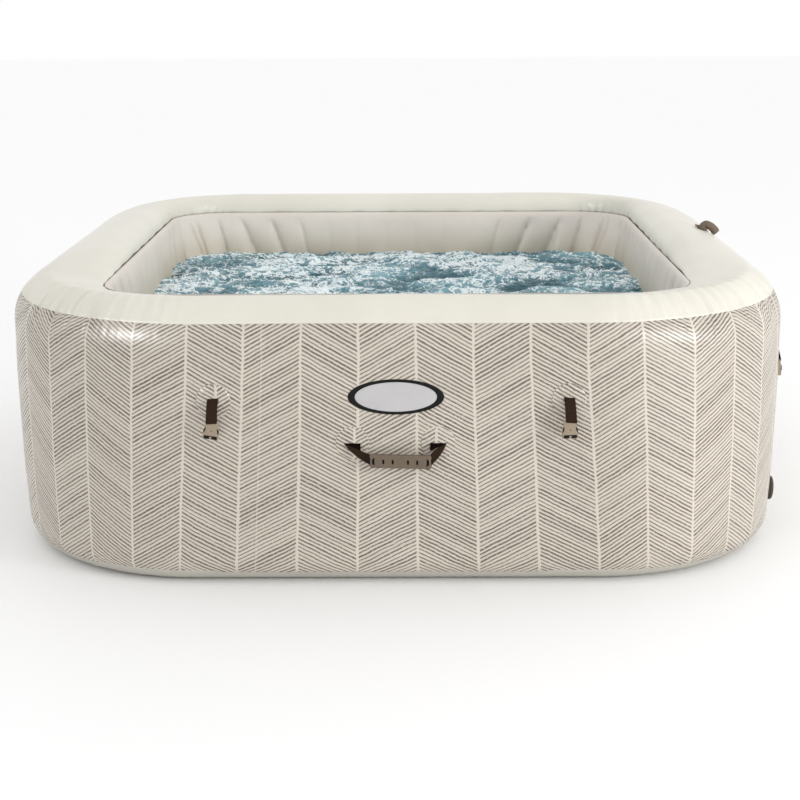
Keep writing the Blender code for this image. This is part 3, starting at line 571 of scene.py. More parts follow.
def sheet_piece(name, points, look, node, uvs=None, thick=0.0012, side=-1):
    mesh = ring_mesh(name, points, uvs)
    mesh.materials.append(look)
    mesh.shade_smooth()
    obj = link(name, mesh)
    thickness = obj.modifiers.new("thickness", "SOLIDIFY")
    thickness.thickness = thick
    thickness.offset = side
    stands_for(obj, "root", node)
    return obj


def outer_wall():
    places = stations(STRAIGHT_STEPS, CORNER_STEPS)
    near_foot = BASE_SEAM_Z + 0.10 * np.linspace(0, 1, 22) ** 1.3
    middle = np.linspace(BASE_SEAM_Z + 0.10, OUTER_SEAM_Z - 0.11, 24)[1:-1]
    near_seam = OUTER_SEAM_Z - 0.11 * np.linspace(1, 0, 30) ** 1.3
    heights = np.concatenate([near_foot, middle, near_seam])
    insets = wall_inset(heights)
    points = ring_points(HALF_WIDTH - insets, corner_radius(insets, heights), heights, places)
    distance = way_round(places, HALF_WIDTH, CORNER_RADIUS)[:-1]
    weight = corner_weight(places)[None, :]
    rows = along_rows(insets, heights)
    above = rows[:, None]
    below = (rows[-1] - rows)[:, None]
    push = SEAM_FOLD_DEPTH * folds(distance, *SEAM_FOLDS) * weight * np.exp(-below / 0.050)
    push += FINE_FOLD_DEPTH * folds(distance, *FINE_FOLDS) * (0.24 + 0.76 * weight) * np.exp(-below / 0.020)
    push += 0.0050 * folds(distance, *FOOT_FOLDS) * weight * np.exp(-above / 0.035)
    push += 0.0010 * folds(distance, *SLOW_FOOT_FOLDS) * np.exp(-above / 0.03)
    push += wall_hills(*np.moveaxis(points, -1, 0))
    # Away from the seams the sheet stays close to its plan, under the badge and the patches.
    middle_share = step_up(above, 0.05, 0.09) * step_up(below, 0.07, 0.11)
    slack = 0.01 * (1 - middle_share)
    held = np.clip(push, -0.0006 * middle_share - slack, 0.0009 * middle_share + slack)
    push = np.where(middle_share > 0, held, push)
    points += surface_normals(points) * push[..., None]
    sheet_piece("wall_sheet", points, PRINT, "outer_wall", outer_uvs(places, rows, print_start(places)))


def top_sheet():
    """From a lap over the printed wall, over the crest, to the seam with the liner."""
    places = stations(STRAIGHT_STEPS, CORNER_STEPS)
    start = math.asin((OUTER_SEAM_Z - WIDEST_Z) / (CREST_Z - WIDEST_Z))
    lap = OUTER_SEAM_Z - np.array([0.0065, 0.0060, 0.0030])
    rise = start + (math.pi / 2 - start) * np.linspace(0, 1, 46) ** 1.15
    fall = np.linspace(0, math.pi / 2, 18)[1:]
    insets = np.concatenate([
        wall_inset(lap),
        SHOULDER_REACH * (1 - np.cos(rise)),
        SHOULDER_REACH + (WALL_DEPTH - SHOULDER_REACH) * np.sin(fall),
    ])
    heights = np.concatenate([
        lap,
        WIDEST_Z + (CREST_Z - WIDEST_Z) * np.sin(rise),
        INNER_SEAM_Z + (CREST_Z - INNER_SEAM_Z) * np.cos(fall),
    ])
    points = ring_points(HALF_WIDTH - insets, corner_radius(insets, heights), heights, places)
    front = step_up(-points[..., 1], SETTLE_FROM, SETTLE_FROM + SETTLE_OVER)
    points[..., 2] -= settle(insets, heights)[:, None] * front
    x, y, z = np.moveaxis(points, -1, 0)
    distance = way_round(places, HALF_WIDTH, CORNER_RADIUS)[:-1]
    weight = corner_weight(places)[None, :]
    rows = along_rows(insets, heights)
    out = rows[:, None]
    back = (rows[-1] - rows)[:, None]
    at_seam = np.exp(-(out / 0.05) ** 2)
    push = SEAM_FOLD_DEPTH * folds(distance, *SEAM_FOLDS) * weight * np.exp(-out / 0.060)
    push += FINE_FOLD_DEPTH * folds(distance, *FINE_FOLDS) * (0.24 + 0.76 * weight) * np.exp(-out / 0.024)
    push += 0.0058 * folds(distance, 0.045, 21) * weight * np.exp(-((out - 0.085) / 0.055) ** 2)
    push += wall_hills(x, y, z) * at_seam
    push += 0.0030 * folds(distance, TIE_SPACING, 22, 0.9) * np.exp(-back / 0.022)
    push += (0.0012 * hills(x, y, z, 0.50, 7) + 0.0005 * hills(x, y, z, 0.16, 8) - 0.0008) * (1 - at_seam)
    # The lap's edge and the weld stand proud.
    push[:6] += np.array([0.0002, 0.0009, 0.0009, 0.0008, 0.0005, 0.0002])[:, None]
    points += surface_normals(points) * push[..., None]
    sheet_piece("rim_sheet", points, CREAM, "top_sheet", outer_uvs(places, rows, 0.0))


def inner_wall():
    """The liner: tight at the ties, and bulging into the basin between them, most of all near the corners."""
    places = stations(222, 60)
    head, foot = INNER_SEAM_Z + 0.001, LINER[0].z
    heights = head - (head - foot) * np.linspace(0, 1, 60) ** 1.35
    half = np.full(len(heights), INNER_HALF)
    radius = np.full(len(heights), INNER_CORNER_RADIUS)
    points = ring_points(half, radius, heights, places)
    x, y, z = np.moveaxis(points, -1, 0)
    quarter, share, angle = places
    straight = INNER_HALF - INNER_CORNER_RADIUS
    stretch = 1.35  # creases stand this much closer round the corners
    along = np.where(angle > 0, straight + INNER_CORNER_RADIUS * angle * stretch, share * straight)
    half_side = straight + stretch * INNER_CORNER_RADIUS * math.pi / 4
    along = np.where(angle > math.pi / 4, along - 2 * half_side, along)
    off_middle = np.abs(along)
    below = (head - heights)[:, None]
    # Going down, each crease leans towards the middle of its side.
    lean = 0.42 * step_up(off_middle, 0.12, 0.45) * (1 - step_up(off_middle, 0.60, 0.70))
    shifted = along + np.sign(along) * lean * np.minimum(below, 0.16)
    drift = 0.006 * hills(along, quarter * 1.7, 0 * along, 0.31, 35)
    cycle = np.abs(np.sin(math.pi * ((shifted + drift) / LINER_TIES + 0.5))) ** 0.42
    strong = 0.22 + 0.78 * step_up(off_middle, 0.22, 0.42)
    creases = 0.0210 * (cycle - 1) * strong * step_up(below, 0.006, 0.060)
    belly = LINER_BULGE * np.sqrt(np.maximum(1 - (1 - np.minimum(below / 0.17, 1.0)) ** 2, 0.0))
    at_corner = CORNER_BULGE * step_up(off_middle, 0.44, 0.70) * step_up(below, 0.0, 0.15)
    wander = 0.0030 * step_up(below, 0.0, 0.05) * hills(x, y, z * 0.3, 0.29, 33)
    distance = way_round(places, INNER_HALF, INNER_CORNER_RADIUS)[:-1]
    hem = (0.0002 + 0.0007 * pleats(distance, 0.031, 34)) * np.exp(-below / 0.03)
    low = 0.0020 * (pleats(distance, 0.017, 36) - 0.5) * step_up(below, 0.07, 0.13)
    push = belly + creases + at_corner + wander + hem + low * step_up(off_middle, 0.45, 0.60)
    push *= step_up(z, foot - 0.001, foot + 0.05)
    # The sheet lies flat where the strainers and the drain are clamped to it.
    for node in ("inlet_strainer", "outlet_strainer", "drain_valve_body"):
        middle = (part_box(node)[0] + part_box(node)[1]) / 2
        near = np.hypot(y - middle.y, z - middle.z)
        push *= np.where(x > 0, step_up(near, 0.030, 0.075), 1.0)
    normal = ring_points(half + 1, radius + 1, heights, places) - points
    normal[..., 2] = 0
    normal /= np.linalg.norm(normal, axis=2, keepdims=True)
    points -= normal * push[..., None]
    sheet_piece("liner_sheet", points[::-1], LINER_LOOK, "inner_wall", side=1)


def base_sheet():
    """The cream band round the foot, and the underside."""
    places = stations(STRAIGHT_STEPS // 2, CORNER_STEPS)
    flat_rows = 10
    shares = np.concatenate([np.linspace(0.02, 0.985, flat_rows), np.ones(16)])
    heights = np.concatenate([np.zeros(flat_rows), (BASE_SEAM_Z + 0.003) * np.linspace(0, 1, 16) ** 1.6])
    insets = wall_inset(heights)
    half = (HALF_WIDTH - insets) * shares
    points = ring_points(half, corner_radius(insets, heights) * shares, heights, places)
    distance = way_round(places, HALF_WIDTH, CORNER_RADIUS)[:-1]
    out = along_rows(half, heights)
    fading = np.exp(-(out[-1] - out)[:, None] / 0.03)
    z = points[..., 2]
    push = 0.0045 * folds(distance, *FOOT_FOLDS) * corner_weight(places)[None, :] * fading
    push += 0.0010 * folds(distance, *SLOW_FOOT_FOLDS) * fading
    push = push * step_up(z, 0.0, 0.006) - 0.0005 * step_up(z, 0.001, 0.01)
    points += surface_normals(points) * push[..., None]
    points[..., 2] = np.maximum(points[..., 2], 0.0)
    obj = sheet_piece("foot_sheet", points, CREAM, "base_sheet", thick=0.002)

    def close_underside(bm):
        bm.verts.ensure_lookup_table()
        bm.faces.new([bm.verts[i] for i in range(len(distance))][::-1]).smooth = True
        turn_outwards(bm)

    through_bmesh(obj.data, close_underside)


# The waves' sizes, heights and seeds
CHOP = ((0.17, 0.0075, 45), (0.085, 0.0055, 46), (0.042, 0.0034, 47), (0.024, 0.0016, 48))


def water():
    """The basin's water, churned by the jets."""
    half, radius = INNER_HALF - 0.016, INNER_CORNER_RADIUS + 0.055
    places = stations(110, 40)
    shares = np.concatenate([[0.0005], np.linspace(0.008, 1.0, 210)])
    rows = ring_points(half * shares, radius * shares, np.full(len(shares), WATER_Z), places)
    x, y = rows[..., 0], rows[..., 1]
    flat = 0 * x
    wave = 0.0060 * hills(x, y, flat, 0.31, 41) + 0.0050 * hills(x, y, flat, 0.145, 42)
    warp_x = x + 0.030 * hills(x, y, flat, 0.20, 43)
    warp_y = y + 0.030 * hills(x, y, flat, 0.22, 44)
    for size, height, seed in CHOP:
        crest = 1 - np.abs(hills(warp_x, warp_y, flat, size, seed))
        wave += height * np.clip(crest, -1, 1) ** 3
    rows[..., 2] += wave
    skirt = rows[-1:].copy()
    skirt[..., 2] = WATER_Z - 0.08
    mesh = ring_mesh("water", np.concatenate([rows, skirt])[::-1])
    mesh.materials.append(water_look())
    mesh.shade_smooth()
    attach(link("water", mesh), "root")


# Fittings. Their sizes are the CAD's, and each piece stands for the CAD node in the same place.

GAP = 0.0003
LOCK_OFFSETS = (0.40, 0.385, 0.40, 0.350)
FRONT_LOCK_SHIFT = -0.011
LOCK_Z = 0.457
LOCK_STANDOFF = 0.0255
LOCK_PATCH_DROP = 0.007
BAR_TOP = -0.0465
BAR_BOTTOM = -0.0503
BUCKLE_BOTTOM = -0.0875
PATCH_RADIUS = 0.039
LOCK_SLIT = 0.0135  # half the slit's length
HANDLE_SLIT = 0.0188
WEBBING_WIDTH = 0.025
WEBBING_THICKNESS = 0.0014
HINGE_STANDOFF = 0.003
HANDLE_Z = 0.350
HANDLE_SHIFT = -0.002
HANDLE_SPREAD = 0.097
GRIP_SHIFT = 0.012
GRIP_LEAN = 0.030  # the grip hangs a little lower at its right end
GRIP_HALF_LENGTH = 0.070
GRIP_DROP = 0.036
GRIP_STANDOFF = 0.0215
GRIP_HEIGHT = 0.034
GRIP_DEPTH = 0.0135
BADGE_Z = 0.4585
BADGE_HALF = (0.1085, 0.0410)
FACE_HALF = (0.0925, 0.0345)
PORT_Z = 0.28
PORT_SPACING = 0.182
PORT_MIDDLE = 0.046
DRAIN_Y = -0.49
DRAIN_Z = 0.092
VALVE_Y = 0.21
VALVE_Z = 0.50
ELBOW_INSET = 0.108
ELBOW_TILT = math.radians(22)


def wall_place(side, along, z, out=0.0):
    """A place on the wall: local X along it, -Y out of it."""
    step = 0.001
    lean = math.atan((wall_inset(z - step) - wall_inset(z + step)) / (2 * step))
    turn = Matrix.Rotation(side * math.pi / 2, 4, "Z")
    shift = Matrix.Translation((along, wall_inset(z) - HALF_WIDTH, z))
    return turn @ shift @ Matrix.Rotation(lean, 4, "X") @ Matrix.Translation((0, -out, 0))


def axis_out(place, out=0.0):
    """The same place with local Z pointing out of the wall, moved out along it."""
    return place @ Matrix.Rotation(math.pi / 2, 4, "X") @ Matrix.Translation((0, 0, out))


def side_distance(side):
    """The print's distance round the tub at the middle of a side."""
    quarter = 2 * (HALF_WIDTH - CORNER_RADIUS) + CORNER_RADIUS * math.pi / 2
    return (0, 1, 2, -1)[side] * quarter - PRINT_GAP_X


def sheet_height(z):
    """Distance up the wall sheet from its foot to a height."""
    heights = np.linspace(BASE_SEAM_Z, z, 200)
    return along_rows(wall_inset(heights), heights)[-1]


# Skins

SHARP_FROM = math.radians(38)  # edges that turn more than this stay sharp


def skin(loops, look=0, ring=False):
    """Points, faces and look of a skin over equal loops. With ring, the last loop joins the first."""
    count = len(loops[0])
    points = [tuple(p) for loop in loops for p in loop]
    faces = []
    for i in range(len(loops) if ring else len(loops) - 1):
        a, b = i * count, (i + 1) % len(loops) * count
        for k in range(count):
            n = (k + 1) % count
            faces.append((a + k, a + n, b + n, b + k))
    if not ring:
        faces.append(tuple(range(count))[::-1])
        faces.append(tuple((len(loops) - 1) * count + k for k in range(count)))
    return points, faces, look


def solid(name, parts, looks, place, uvs=None):
    """One object from skins, with its normals turned outwards."""
    points, faces, slots = [], [], []
    for part_points, part_faces, look in parts:
        start = len(points)
        points += part_points
        faces += [tuple(i + start for i in face) for face in part_faces]
        slots += [look] * len(part_faces)
    mesh = bpy.data.meshes.new(name)
    mesh.from_pydata(points, [], faces)
    mesh.polygons.foreach_set("material_index", slots)
    if uvs is not None:
        layer = mesh.uv_layers.new(name="sheet")
        layer.uv.foreach_set("vector", [value for loop in mesh.loops for value in uvs[loop.vertex_index]])
    through_bmesh(mesh, turn_outwards)
    for look in looks:
        mesh.materials.append(look)
    mesh.shade_smooth()
    mesh.set_sharp_from_angle(angle=SHARP_FROM)
    return link(name, mesh, place)


def turns(steps):
    return [math.tau * i / steps for i in range(steps)]


def oval(half_x, half_y, z, steps=128):
    return [(half_x * math.cos(a), half_y * math.sin(a), z) for a in turns(steps)]


def upright_oval(x, z, half_x, half_z, y, steps=12):
    return [(x + half_x * math.cos(a), y, z + half_z * math.sin(a)) for a in turns(steps)]


def rounded_box(half_x, half_y, radius, steps=5):
    radius = min(radius, half_x * 0.98, half_y * 0.98)
    loop = []
    for quarter, (sx, sy) in enumerate(((1, 1), (-1, 1), (-1, -1), (1, -1))):
        for i in range(steps + 1):
            a = math.pi / 2 * (quarter + i / steps)
            x = sx * (half_x - radius) + radius * math.cos(a)
            loop.append((x, sy * (half_y - radius) + radius * math.sin(a)))
    return loop


def level_box(half_x, half_y, radius, z, y=0.0, steps=5):
    return [(px, py + y, z) for px, py in rounded_box(half_x, half_y, radius, steps)]


def curve_through(points, steps=6):
    """A smooth path through the points (Catmull-Rom)."""
    points = [Vector(p) for p in points]
    ends = [2 * points[0] - points[1]] + points + [2 * points[-1] - points[-2]]
    path = []
    for i in range(1, len(ends) - 2):
        a, b, c, d = ends[i - 1:i + 3]
        for k in range(steps):
            t = k / steps
            square = (2 * a - 5 * b + 4 * c - d) * t**2
            cube = (3 * b - 3 * c + d - a) * t**3
            path.append(0.5 * (2 * b + (c - a) * t + square + cube))
    return path + [points[-1]]


def lathe(profile, steps=64, ribs=0, depth=0.0, ribbed=()):
    """The loops of a turned skin, with grooves in the ribbed rows."""
    loops = []
    for row, (radius, z) in enumerate(profile):
        cut = depth if row in ribbed else 0.0
        sizes = [(a, radius - cut * (0.5 - 0.5 * math.cos(ribs * a)) ** 2) for a in turns(steps)]
        loops.append([(r * math.cos(a), r * math.sin(a), z) for a, r in sizes])
    return loops


def bell(value, middle, width):
    return math.exp(-(((value - middle) / width) ** 2))


def patch_piece(name, place, slit, seed, u, v, relief=1.0):
    """A welded disc of the printed sheet: its weld ring, the puckers round it, and a lip round the slit."""
    rings, around = 44, 144
    edge_height, edge_from = 0.0006, 0.97
    counts, phases = (7, 11, 17, 26), np.random.default_rng(seed).uniform(0, math.tau, 4)
    points, uvs = [(0.0, 0.0, 0.0)], [(u, v)]
    for share in [i / rings for i in range(1, rings + 1)]:
        for a in turns(around):
            x, y = PATCH_RADIUS * share * math.cos(a), PATCH_RADIUS * share * math.sin(a)
            wave = sum(math.sin(n * a + phase) / (1 + 0.05 * n) for n, phase in zip(counts, phases)) / 2.6
            z = 0.0040 * (1 - share**2) ** 0.8 + 0.0020 * wave * bell(share, 0.68, 0.17)
            z += 0.0009 * bell(share, 0.91, 0.030) + 0.0008 * bell(share, 0.80, 0.022)
            z += 0.0014 * bell(y, 0.0, 0.0045) * bell(max(abs(x), slit), slit, 0.004)
            if abs(x) < slit:
                z -= 0.0024 * bell(y, 0.0, 0.0014)
            z = edge_height + z * relief
            if share > edge_from:
                z = edge_height * (1 - share) / (1 - edge_from)
            points.append((x, y, z))
            uvs.append((u + x * 1.02, v + y))
    faces = [(0, 1 + k, 1 + (k + 1) % around) for k in range(around)]
    for a in range(1, 1 + (rings - 1) * around, around):
        b = a + around
        faces += [(a + k, b + k, b + (k + 1) % around, a + (k + 1) % around) for k in range(around)]
    faces.append(tuple(range(len(points) - around, len(points)))[::-1])
    return solid(name, [(points, faces, 0)], [PRINT], place, uvs)


# Cover locks


def lock_strap(name, place, swing):
    """The strap's route leaves the slit, goes round the buckle's bar, and its tail comes back up behind."""
    y = LOCK_STANDOFF
    route = [
        (0.0, 0.0), (0.010, -0.0055), (y - 0.0055, -0.017), (y - 0.001, -0.030), (y + 0.002, -0.040),
        (y + 0.0037, BAR_TOP), (y + 0.0037, BAR_BOTTOM), (y + 0.0022, BAR_BOTTOM - 0.0014),
        (y, BAR_BOTTOM - 0.0019), (y - 0.0022, BAR_BOTTOM - 0.0014), (y - 0.0037, BAR_BOTTOM),
        (y - 0.0037, BAR_TOP), (y - 0.0027, -0.0390), (y - 0.0034, -0.0300), (y - 0.0062, -0.0220),
    ]
    path = curve_through([(swing * z, -out, z) for out, z in route])
    steps = 10
    shares = [(side, side * (1 - 2 * k / steps)) for side in (1, -1) for k in range(steps + 1)]
    loops, uvs, distance = [], [], 0.0
    for i, at in enumerate(path):
        before, after = path[max(i - 1, 0)], path[min(i + 1, len(path) - 1)]
        along = (after - before).normalized()
        across = Vector((1, 0, swing))
        across = (across - along * across.dot(along)).normalized()
        normal = along.cross(across)
        distance += (at - before).length
        loop = []
        for side, share in shares:
            thin = WEBBING_THICKNESS / 2 * (1 - 0.75 * abs(share) ** 10)
            loop.append(at + across * (WEBBING_WIDTH / 2 * share) + normal * (thin * side))
            uvs.append((distance, WEBBING_WIDTH / 2 * share))
        loops.append(loop)
    return solid(name, [skin(loops)], [WEBBING], place, uvs)


def lock_buckle(name, place, swing):
    """The female half of a side-release buckle: bar, shoulders, and a mouth with its guide rib."""
    y = -LOCK_STANDOFF
    rows = (
        (BAR_TOP, 0.0128, 0.0018), (BAR_TOP - 0.0008, 0.0136, 0.0026), (BAR_BOTTOM - 0.0035, 0.0140, 0.0028),
        (BAR_BOTTOM - 0.0070, 0.0148, 0.0040), (-0.0625, 0.0160, 0.0054), (-0.0700, 0.0172, 0.0058),
        (-0.0790, 0.0180, 0.0058), (-0.0850, 0.0182, 0.0057), (BUCKLE_BOTTOM + 0.0006, 0.0180, 0.0054),
        (BUCKLE_BOTTOM, 0.0174, 0.0048),
    )
    body = [level_box(half_x, half_y, 0.0016, z, y) for z, half_x, half_y in rows]
    # The mouth is a hollow drawn in dark plastic as painted shade; it shows through the low front edge, and
    # from below.
    mouth = []
    for depth, grow in ((0.0030, 0.0), (-0.0056, 0.0), (-0.00605, -0.0006)):
        edge = rounded_box(0.0152 + grow, 0.0040 + grow, 0.0014)
        mouth.append([(px * (1 + grow), y + depth, pz - 0.0828) for px, pz in edge])
    below = [level_box(0.0150, 0.0034, 0.0012, BUCKLE_BOTTOM + rise, y) for rise in (0.004, -0.0003)]
    rib_rows = ((0.0026, 0.0), (0.0026, -0.0062), (0.0017, -0.0070))
    rib = [upright_oval(0.0, -0.0838, size, size * 1.25, y + depth) for size, depth in rib_rows]
    parts = [skin(body), skin(mouth, 1), skin(below, 1), skin(rib)]
    # The marks at the release buttons and the eye are dark plastic too, as painted shade.
    button_top = -0.0610
    button_rows = ((0.0, 0.0002), (0.0020, 0.0015), (0.0060, 0.0019), (0.0105, 0.0015), (0.0125, 0.0002))
    for hand in (-1, 1):
        button = []
        for down, half in button_rows:
            middle = hand * (0.0136 + down * 0.24)
            outline = oval(half, 0.0018, button_top - down, 10)
            button.append([(px + middle, py + y - 0.0048, pz) for px, py, pz in outline])
        parts.append(skin(button, 1))
    eye_rows = ((0.0013, -0.0045), (0.0013, -0.0060), (0.0009, -0.0061))
    eye = [upright_oval(0.0005, -0.0675, size, size, y + depth, 16) for size, depth in eye_rows]
    parts.append(skin(eye, 1))
    bar = Matrix.Translation((0, y, BAR_BOTTOM))
    return solid(name, parts, [BEIGE, DARK_PLASTIC_AND_PAINTED_SHADE], place @ bar @ Matrix.Rotation(swing, 4, "Y") @ bar.inverted())


def cover_locks():
    strap_leans = {"front_left": 0.045, "front_right": -0.07}
    buckle_leans = {"front_left": 0.16, "front_right": -0.04}
    patch_prints = {
        "front_left": (-3 * COLUMN_WIDTH - 0.006, 0.0),
        "front_right": (0.389 - PRINT_GAP_X, 0.003),
    }
    patch_z = LOCK_Z - LOCK_PATCH_DROP
    for side, side_name in enumerate(SIDE_NAMES):
        for hand, way in (("left", -1), ("right", 1)):
            tag = f"{side_name}_{hand}"
            along = (FRONT_LOCK_SHIFT if side == FRONT else 0.0) + way * LOCK_OFFSETS[side]
            place = axis_out(wall_place(side, along, patch_z, GAP))
            u, v = patch_prints.get(tag, (side_distance(side) + along + 0.004 * way, 0.002))
            seed = 50 + 2 * side + (way > 0)
            patch = patch_piece(f"{tag}_lock_disc", place, LOCK_SLIT, seed, u, sheet_height(patch_z) + v)
            stands_for(patch, "root", f"{tag}_lock_patch")
            hinge = wall_place(side, along, LOCK_Z, HINGE_STANDOFF)
            strap = lock_strap(f"{tag}_lock_web", hinge, strap_leans.get(tag, 0.02 * way))
            stands_for(strap, f"{tag}_lock", f"{tag}_lock_strap")
            buckle = lock_buckle(f"{tag}_lock_catch", hinge, buckle_leans.get(tag, 0.05 * way))
            stands_for(buckle, f"{tag}_lock", f"{tag}_lock_buckle")


# Carry handles


def panel(rows, look, thickness=0.0013):
    """A thin closed sheet over rows of points, thickened towards the wall."""
    count, last = len(rows[0]), len(rows) - 1
    front = [tuple(p) for row in rows for p in row]
    half = len(front)
    points = front + [(x, y + thickness, z) for x, y, z in front]
    faces = []
    for a in [i * count + k for i in range(last) for k in range(count - 1)]:
        b = a + count
        faces.append((a, a + 1, b + 1, b))
        faces.append((half + a, half + b, half + b + 1, half + a + 1))
    rim = [k for k in range(count)] + [i * count + count - 1 for i in range(1, last + 1)]
    rim += [last * count + k for k in range(count - 2, -1, -1)] + [i * count for i in range(last - 1, 0, -1)]
    for a, b in zip(rim, rim[1:] + rim[:1]):
        faces.append((a, half + a, half + b, b))
    return points, faces, look


def between_curves(top, bottom, steps):
    """Rows of points from one three-point curve to another, along both."""

    def at(curve, t):
        a, b, c = (Vector(p) for p in curve)
        return a * (1 - t) ** 2 + b * 2 * t * (1 - t) + c * t**2

    ends = [(at(top, k / steps), at(bottom, k / steps)) for k in range(steps + 1)]
    return [[high.lerp(low, i / 8) for high, low in ends] for i in range(9)]


def handle_web(name, place):
    """Each end of the strap: flat at its slit, where the fold's inside is a near-black panel of painted
    shade, upright at the grip.
    """
    parts = []
    for hand in (-1, 1):
        end_x = GRIP_SHIFT + hand * (GRIP_HALF_LENGTH - 0.006)
        outer, inner = hand * (HANDLE_SPREAD + 0.0195), hand * (HANDLE_SPREAD - 0.0180)
        middle = (outer + inner) / 2
        drop = GRIP_DROP + GRIP_LEAN * (end_x - GRIP_SHIFT)
        slit_out, slit_in = (outer, 0.0, 0.0), (inner, 0.0, 0.0)
        grip_top = (end_x, -GRIP_STANDOFF, 0.0125 - drop)
        grip_bottom = (end_x, -GRIP_STANDOFF, -0.0120 - drop)
        slit = (slit_out, (middle, -0.0005, 0.0004), slit_in)
        fold_edge = (slit_out, (middle, -0.0078, -0.0078), (inner * 0.985, -0.0125, -0.0142))
        upper_edge = (slit_out, (inner + hand * 0.006, -0.0122, -0.0112), grip_top)
        lower_edge = (slit_out, ((outer + end_x) / 2 + hand * 0.006, -0.0180, -0.0300), grip_bottom)
        # The fold's inside: a near-black panel of painted shade.
        parts.append(panel(between_curves(slit, fold_edge, 14), 1))
        parts.append(panel(between_curves(upper_edge, lower_edge, 18), 0))
    uvs = [(x + 0.4 * z, z) for points, _, _ in parts for x, _, z in points]
    return solid(name, parts, [WEBBING, FOLD_PAINTED_SHADE], place, uvs)


# Each slot: its place along the grip, its height, and the way it bows
GRIP_SLOTS = (
    (-0.0600, 0.0150, -1), (-0.0365, 0.0105, -1), (-0.0155, 0.0090, -1),
    (0.0143, 0.0090, 1), (0.0350, 0.0105, 1), (0.0595, 0.0150, 1),
)


def slot_depth(x, z):
    """How deep the grip's face is cut at a point of it."""
    depth = 0.0
    for at, height, way in GRIP_SLOTS:
        off = abs(x - at - way * 0.0024 * (1 - (2 * z / height) ** 2))
        if off < 0.0028 and abs(z) < height / 2 + 0.001:
            depth += 0.0042 * step_up(0.0025 - off, 0.0, 0.0009) * step_up(height / 2 - abs(z), 0.0, 0.0012)
    return depth


def grip(name, place):
    """A moulded bar with flared ends and six curved slots in its face."""
    even = np.linspace(-GRIP_HALF_LENGTH, GRIP_HALF_LENGTH, 90)
    at_slots = [np.linspace(at - 0.005, at + 0.005, 26) for at, _, _ in GRIP_SLOTS]
    end_round, edge_round = 0.0070, 0.0035
    bar, hung = [], []
    for x in np.unique(np.round(np.concatenate([even, *at_slots]), 6)):
        end = GRIP_HALF_LENGTH - abs(x)
        flare = 1 - 0.10 * step_up(end, 0.0075, 0.0105)
        tip = math.sqrt(max(0.0, 1 - max(0.0, 1 - end / end_round) ** 2))
        half_z = (GRIP_HEIGHT / 2 - end_round) * flare + end_round * tip
        half_y = (GRIP_DEPTH / 2 - edge_round) * flare + edge_round * tip
        loop = []
        for a in turns(96):
            z = half_z * math.copysign(abs(math.cos(a)) ** 0.42, math.cos(a))
            y = half_y * math.copysign(abs(math.sin(a)) ** 0.60, math.sin(a))
            if math.sin(a) < 0:
                y += slot_depth(x, z)
            loop.append((x, y, z))
        bar.append(loop)
        hung.append([(x + GRIP_SHIFT, y - GRIP_STANDOFF, z - GRIP_DROP - GRIP_LEAN * x) for x, y, z in loop])
    points, faces, _ = skin(hung)
    straight = [p for loop in bar for p in loop]
    sorted_faces = ([], [])
    for face in faces:
        middle_y = sum(straight[i][1] for i in face) / len(face)
        middle_z = sum(straight[i][2] for i in face) / len(face)
        in_slot = len(face) == 4 and abs(middle_z) < 0.0095 and -GRIP_DEPTH / 2 * 0.80 < middle_y < -0.0001
        sorted_faces[int(in_slot)].append(face)
    # The slots are drawn in dark plastic as painted shade in the recesses.
    parts = [(points, sorted_faces[0], 0), (points, sorted_faces[1], 1)]
    return solid(name, parts, [TAUPE, DARK_PLASTIC_AND_PAINTED_SHADE], place)


def handles():
    for side in (FRONT, BACK):
        tag = SIDE_NAMES[side]
        for number, (hand, way, shift_u) in enumerate((("left", -1, 0.011), ("right", 1, -0.046))):
            along = HANDLE_SHIFT + way * HANDLE_SPREAD
            place = axis_out(wall_place(side, along, HANDLE_Z, GAP))
            u, v = side_distance(side) + along + shift_u, sheet_height(HANDLE_Z) + 0.001
            seed = 70 + 2 * side + number
            patch = patch_piece(f"{tag}_handle_{hand}_disc", place, HANDLE_SLIT, seed, u, v, relief=0.45)
            stands_for(patch, "root", f"{tag}_handle_{hand}_patch")
        hinge = wall_place(side, HANDLE_SHIFT, HANDLE_Z, HINGE_STANDOFF)
        stands_for(handle_web(f"{tag}_handle_web", hinge), f"{tag}_handle", f"{tag}_handle_strap")
        stands_for(grip(f"{tag}_handle_bar", hinge), f"{tag}_handle", f"{tag}_handle_grip")


def badge():
    place = axis_out(wall_place(FRONT, 0.0, BADGE_Z, GAP))
    (out_x, out_y), (in_x, in_y) = BADGE_HALF, FACE_HALF
    section = (
        (0.0, 0.0), (0.0, 0.0010), (0.05, 0.0018), (0.20, 0.0026), (0.5, 0.0030),
        (0.80, 0.0028), (0.94, 0.0023), (1.0, 0.0016), (1.0, 0.0),
    )
    rim = [oval(out_x + (in_x - out_x) * share, out_y + (in_y - out_y) * share, z) for share, z in section]
    stands_for(solid("badge_rim", [skin(rim, ring=True)], [BADGE_RIM], place), "root", "badge_bezel")
    face = [oval(in_x - GAP, in_y - GAP, 0.0)]
    for share in (1.0, 0.96, 0.8, 0.6, 0.4, 0.2, 0.02):
        face.append(oval((in_x - GAP) * share, (in_y - GAP) * share, 0.0013 + 0.0008 * (1 - share**2)))
    stands_for(solid("badge_plate", [skin(face)], [PLATE], place), "root", "badge_face")


# Caps, ports, valves and the air inlet


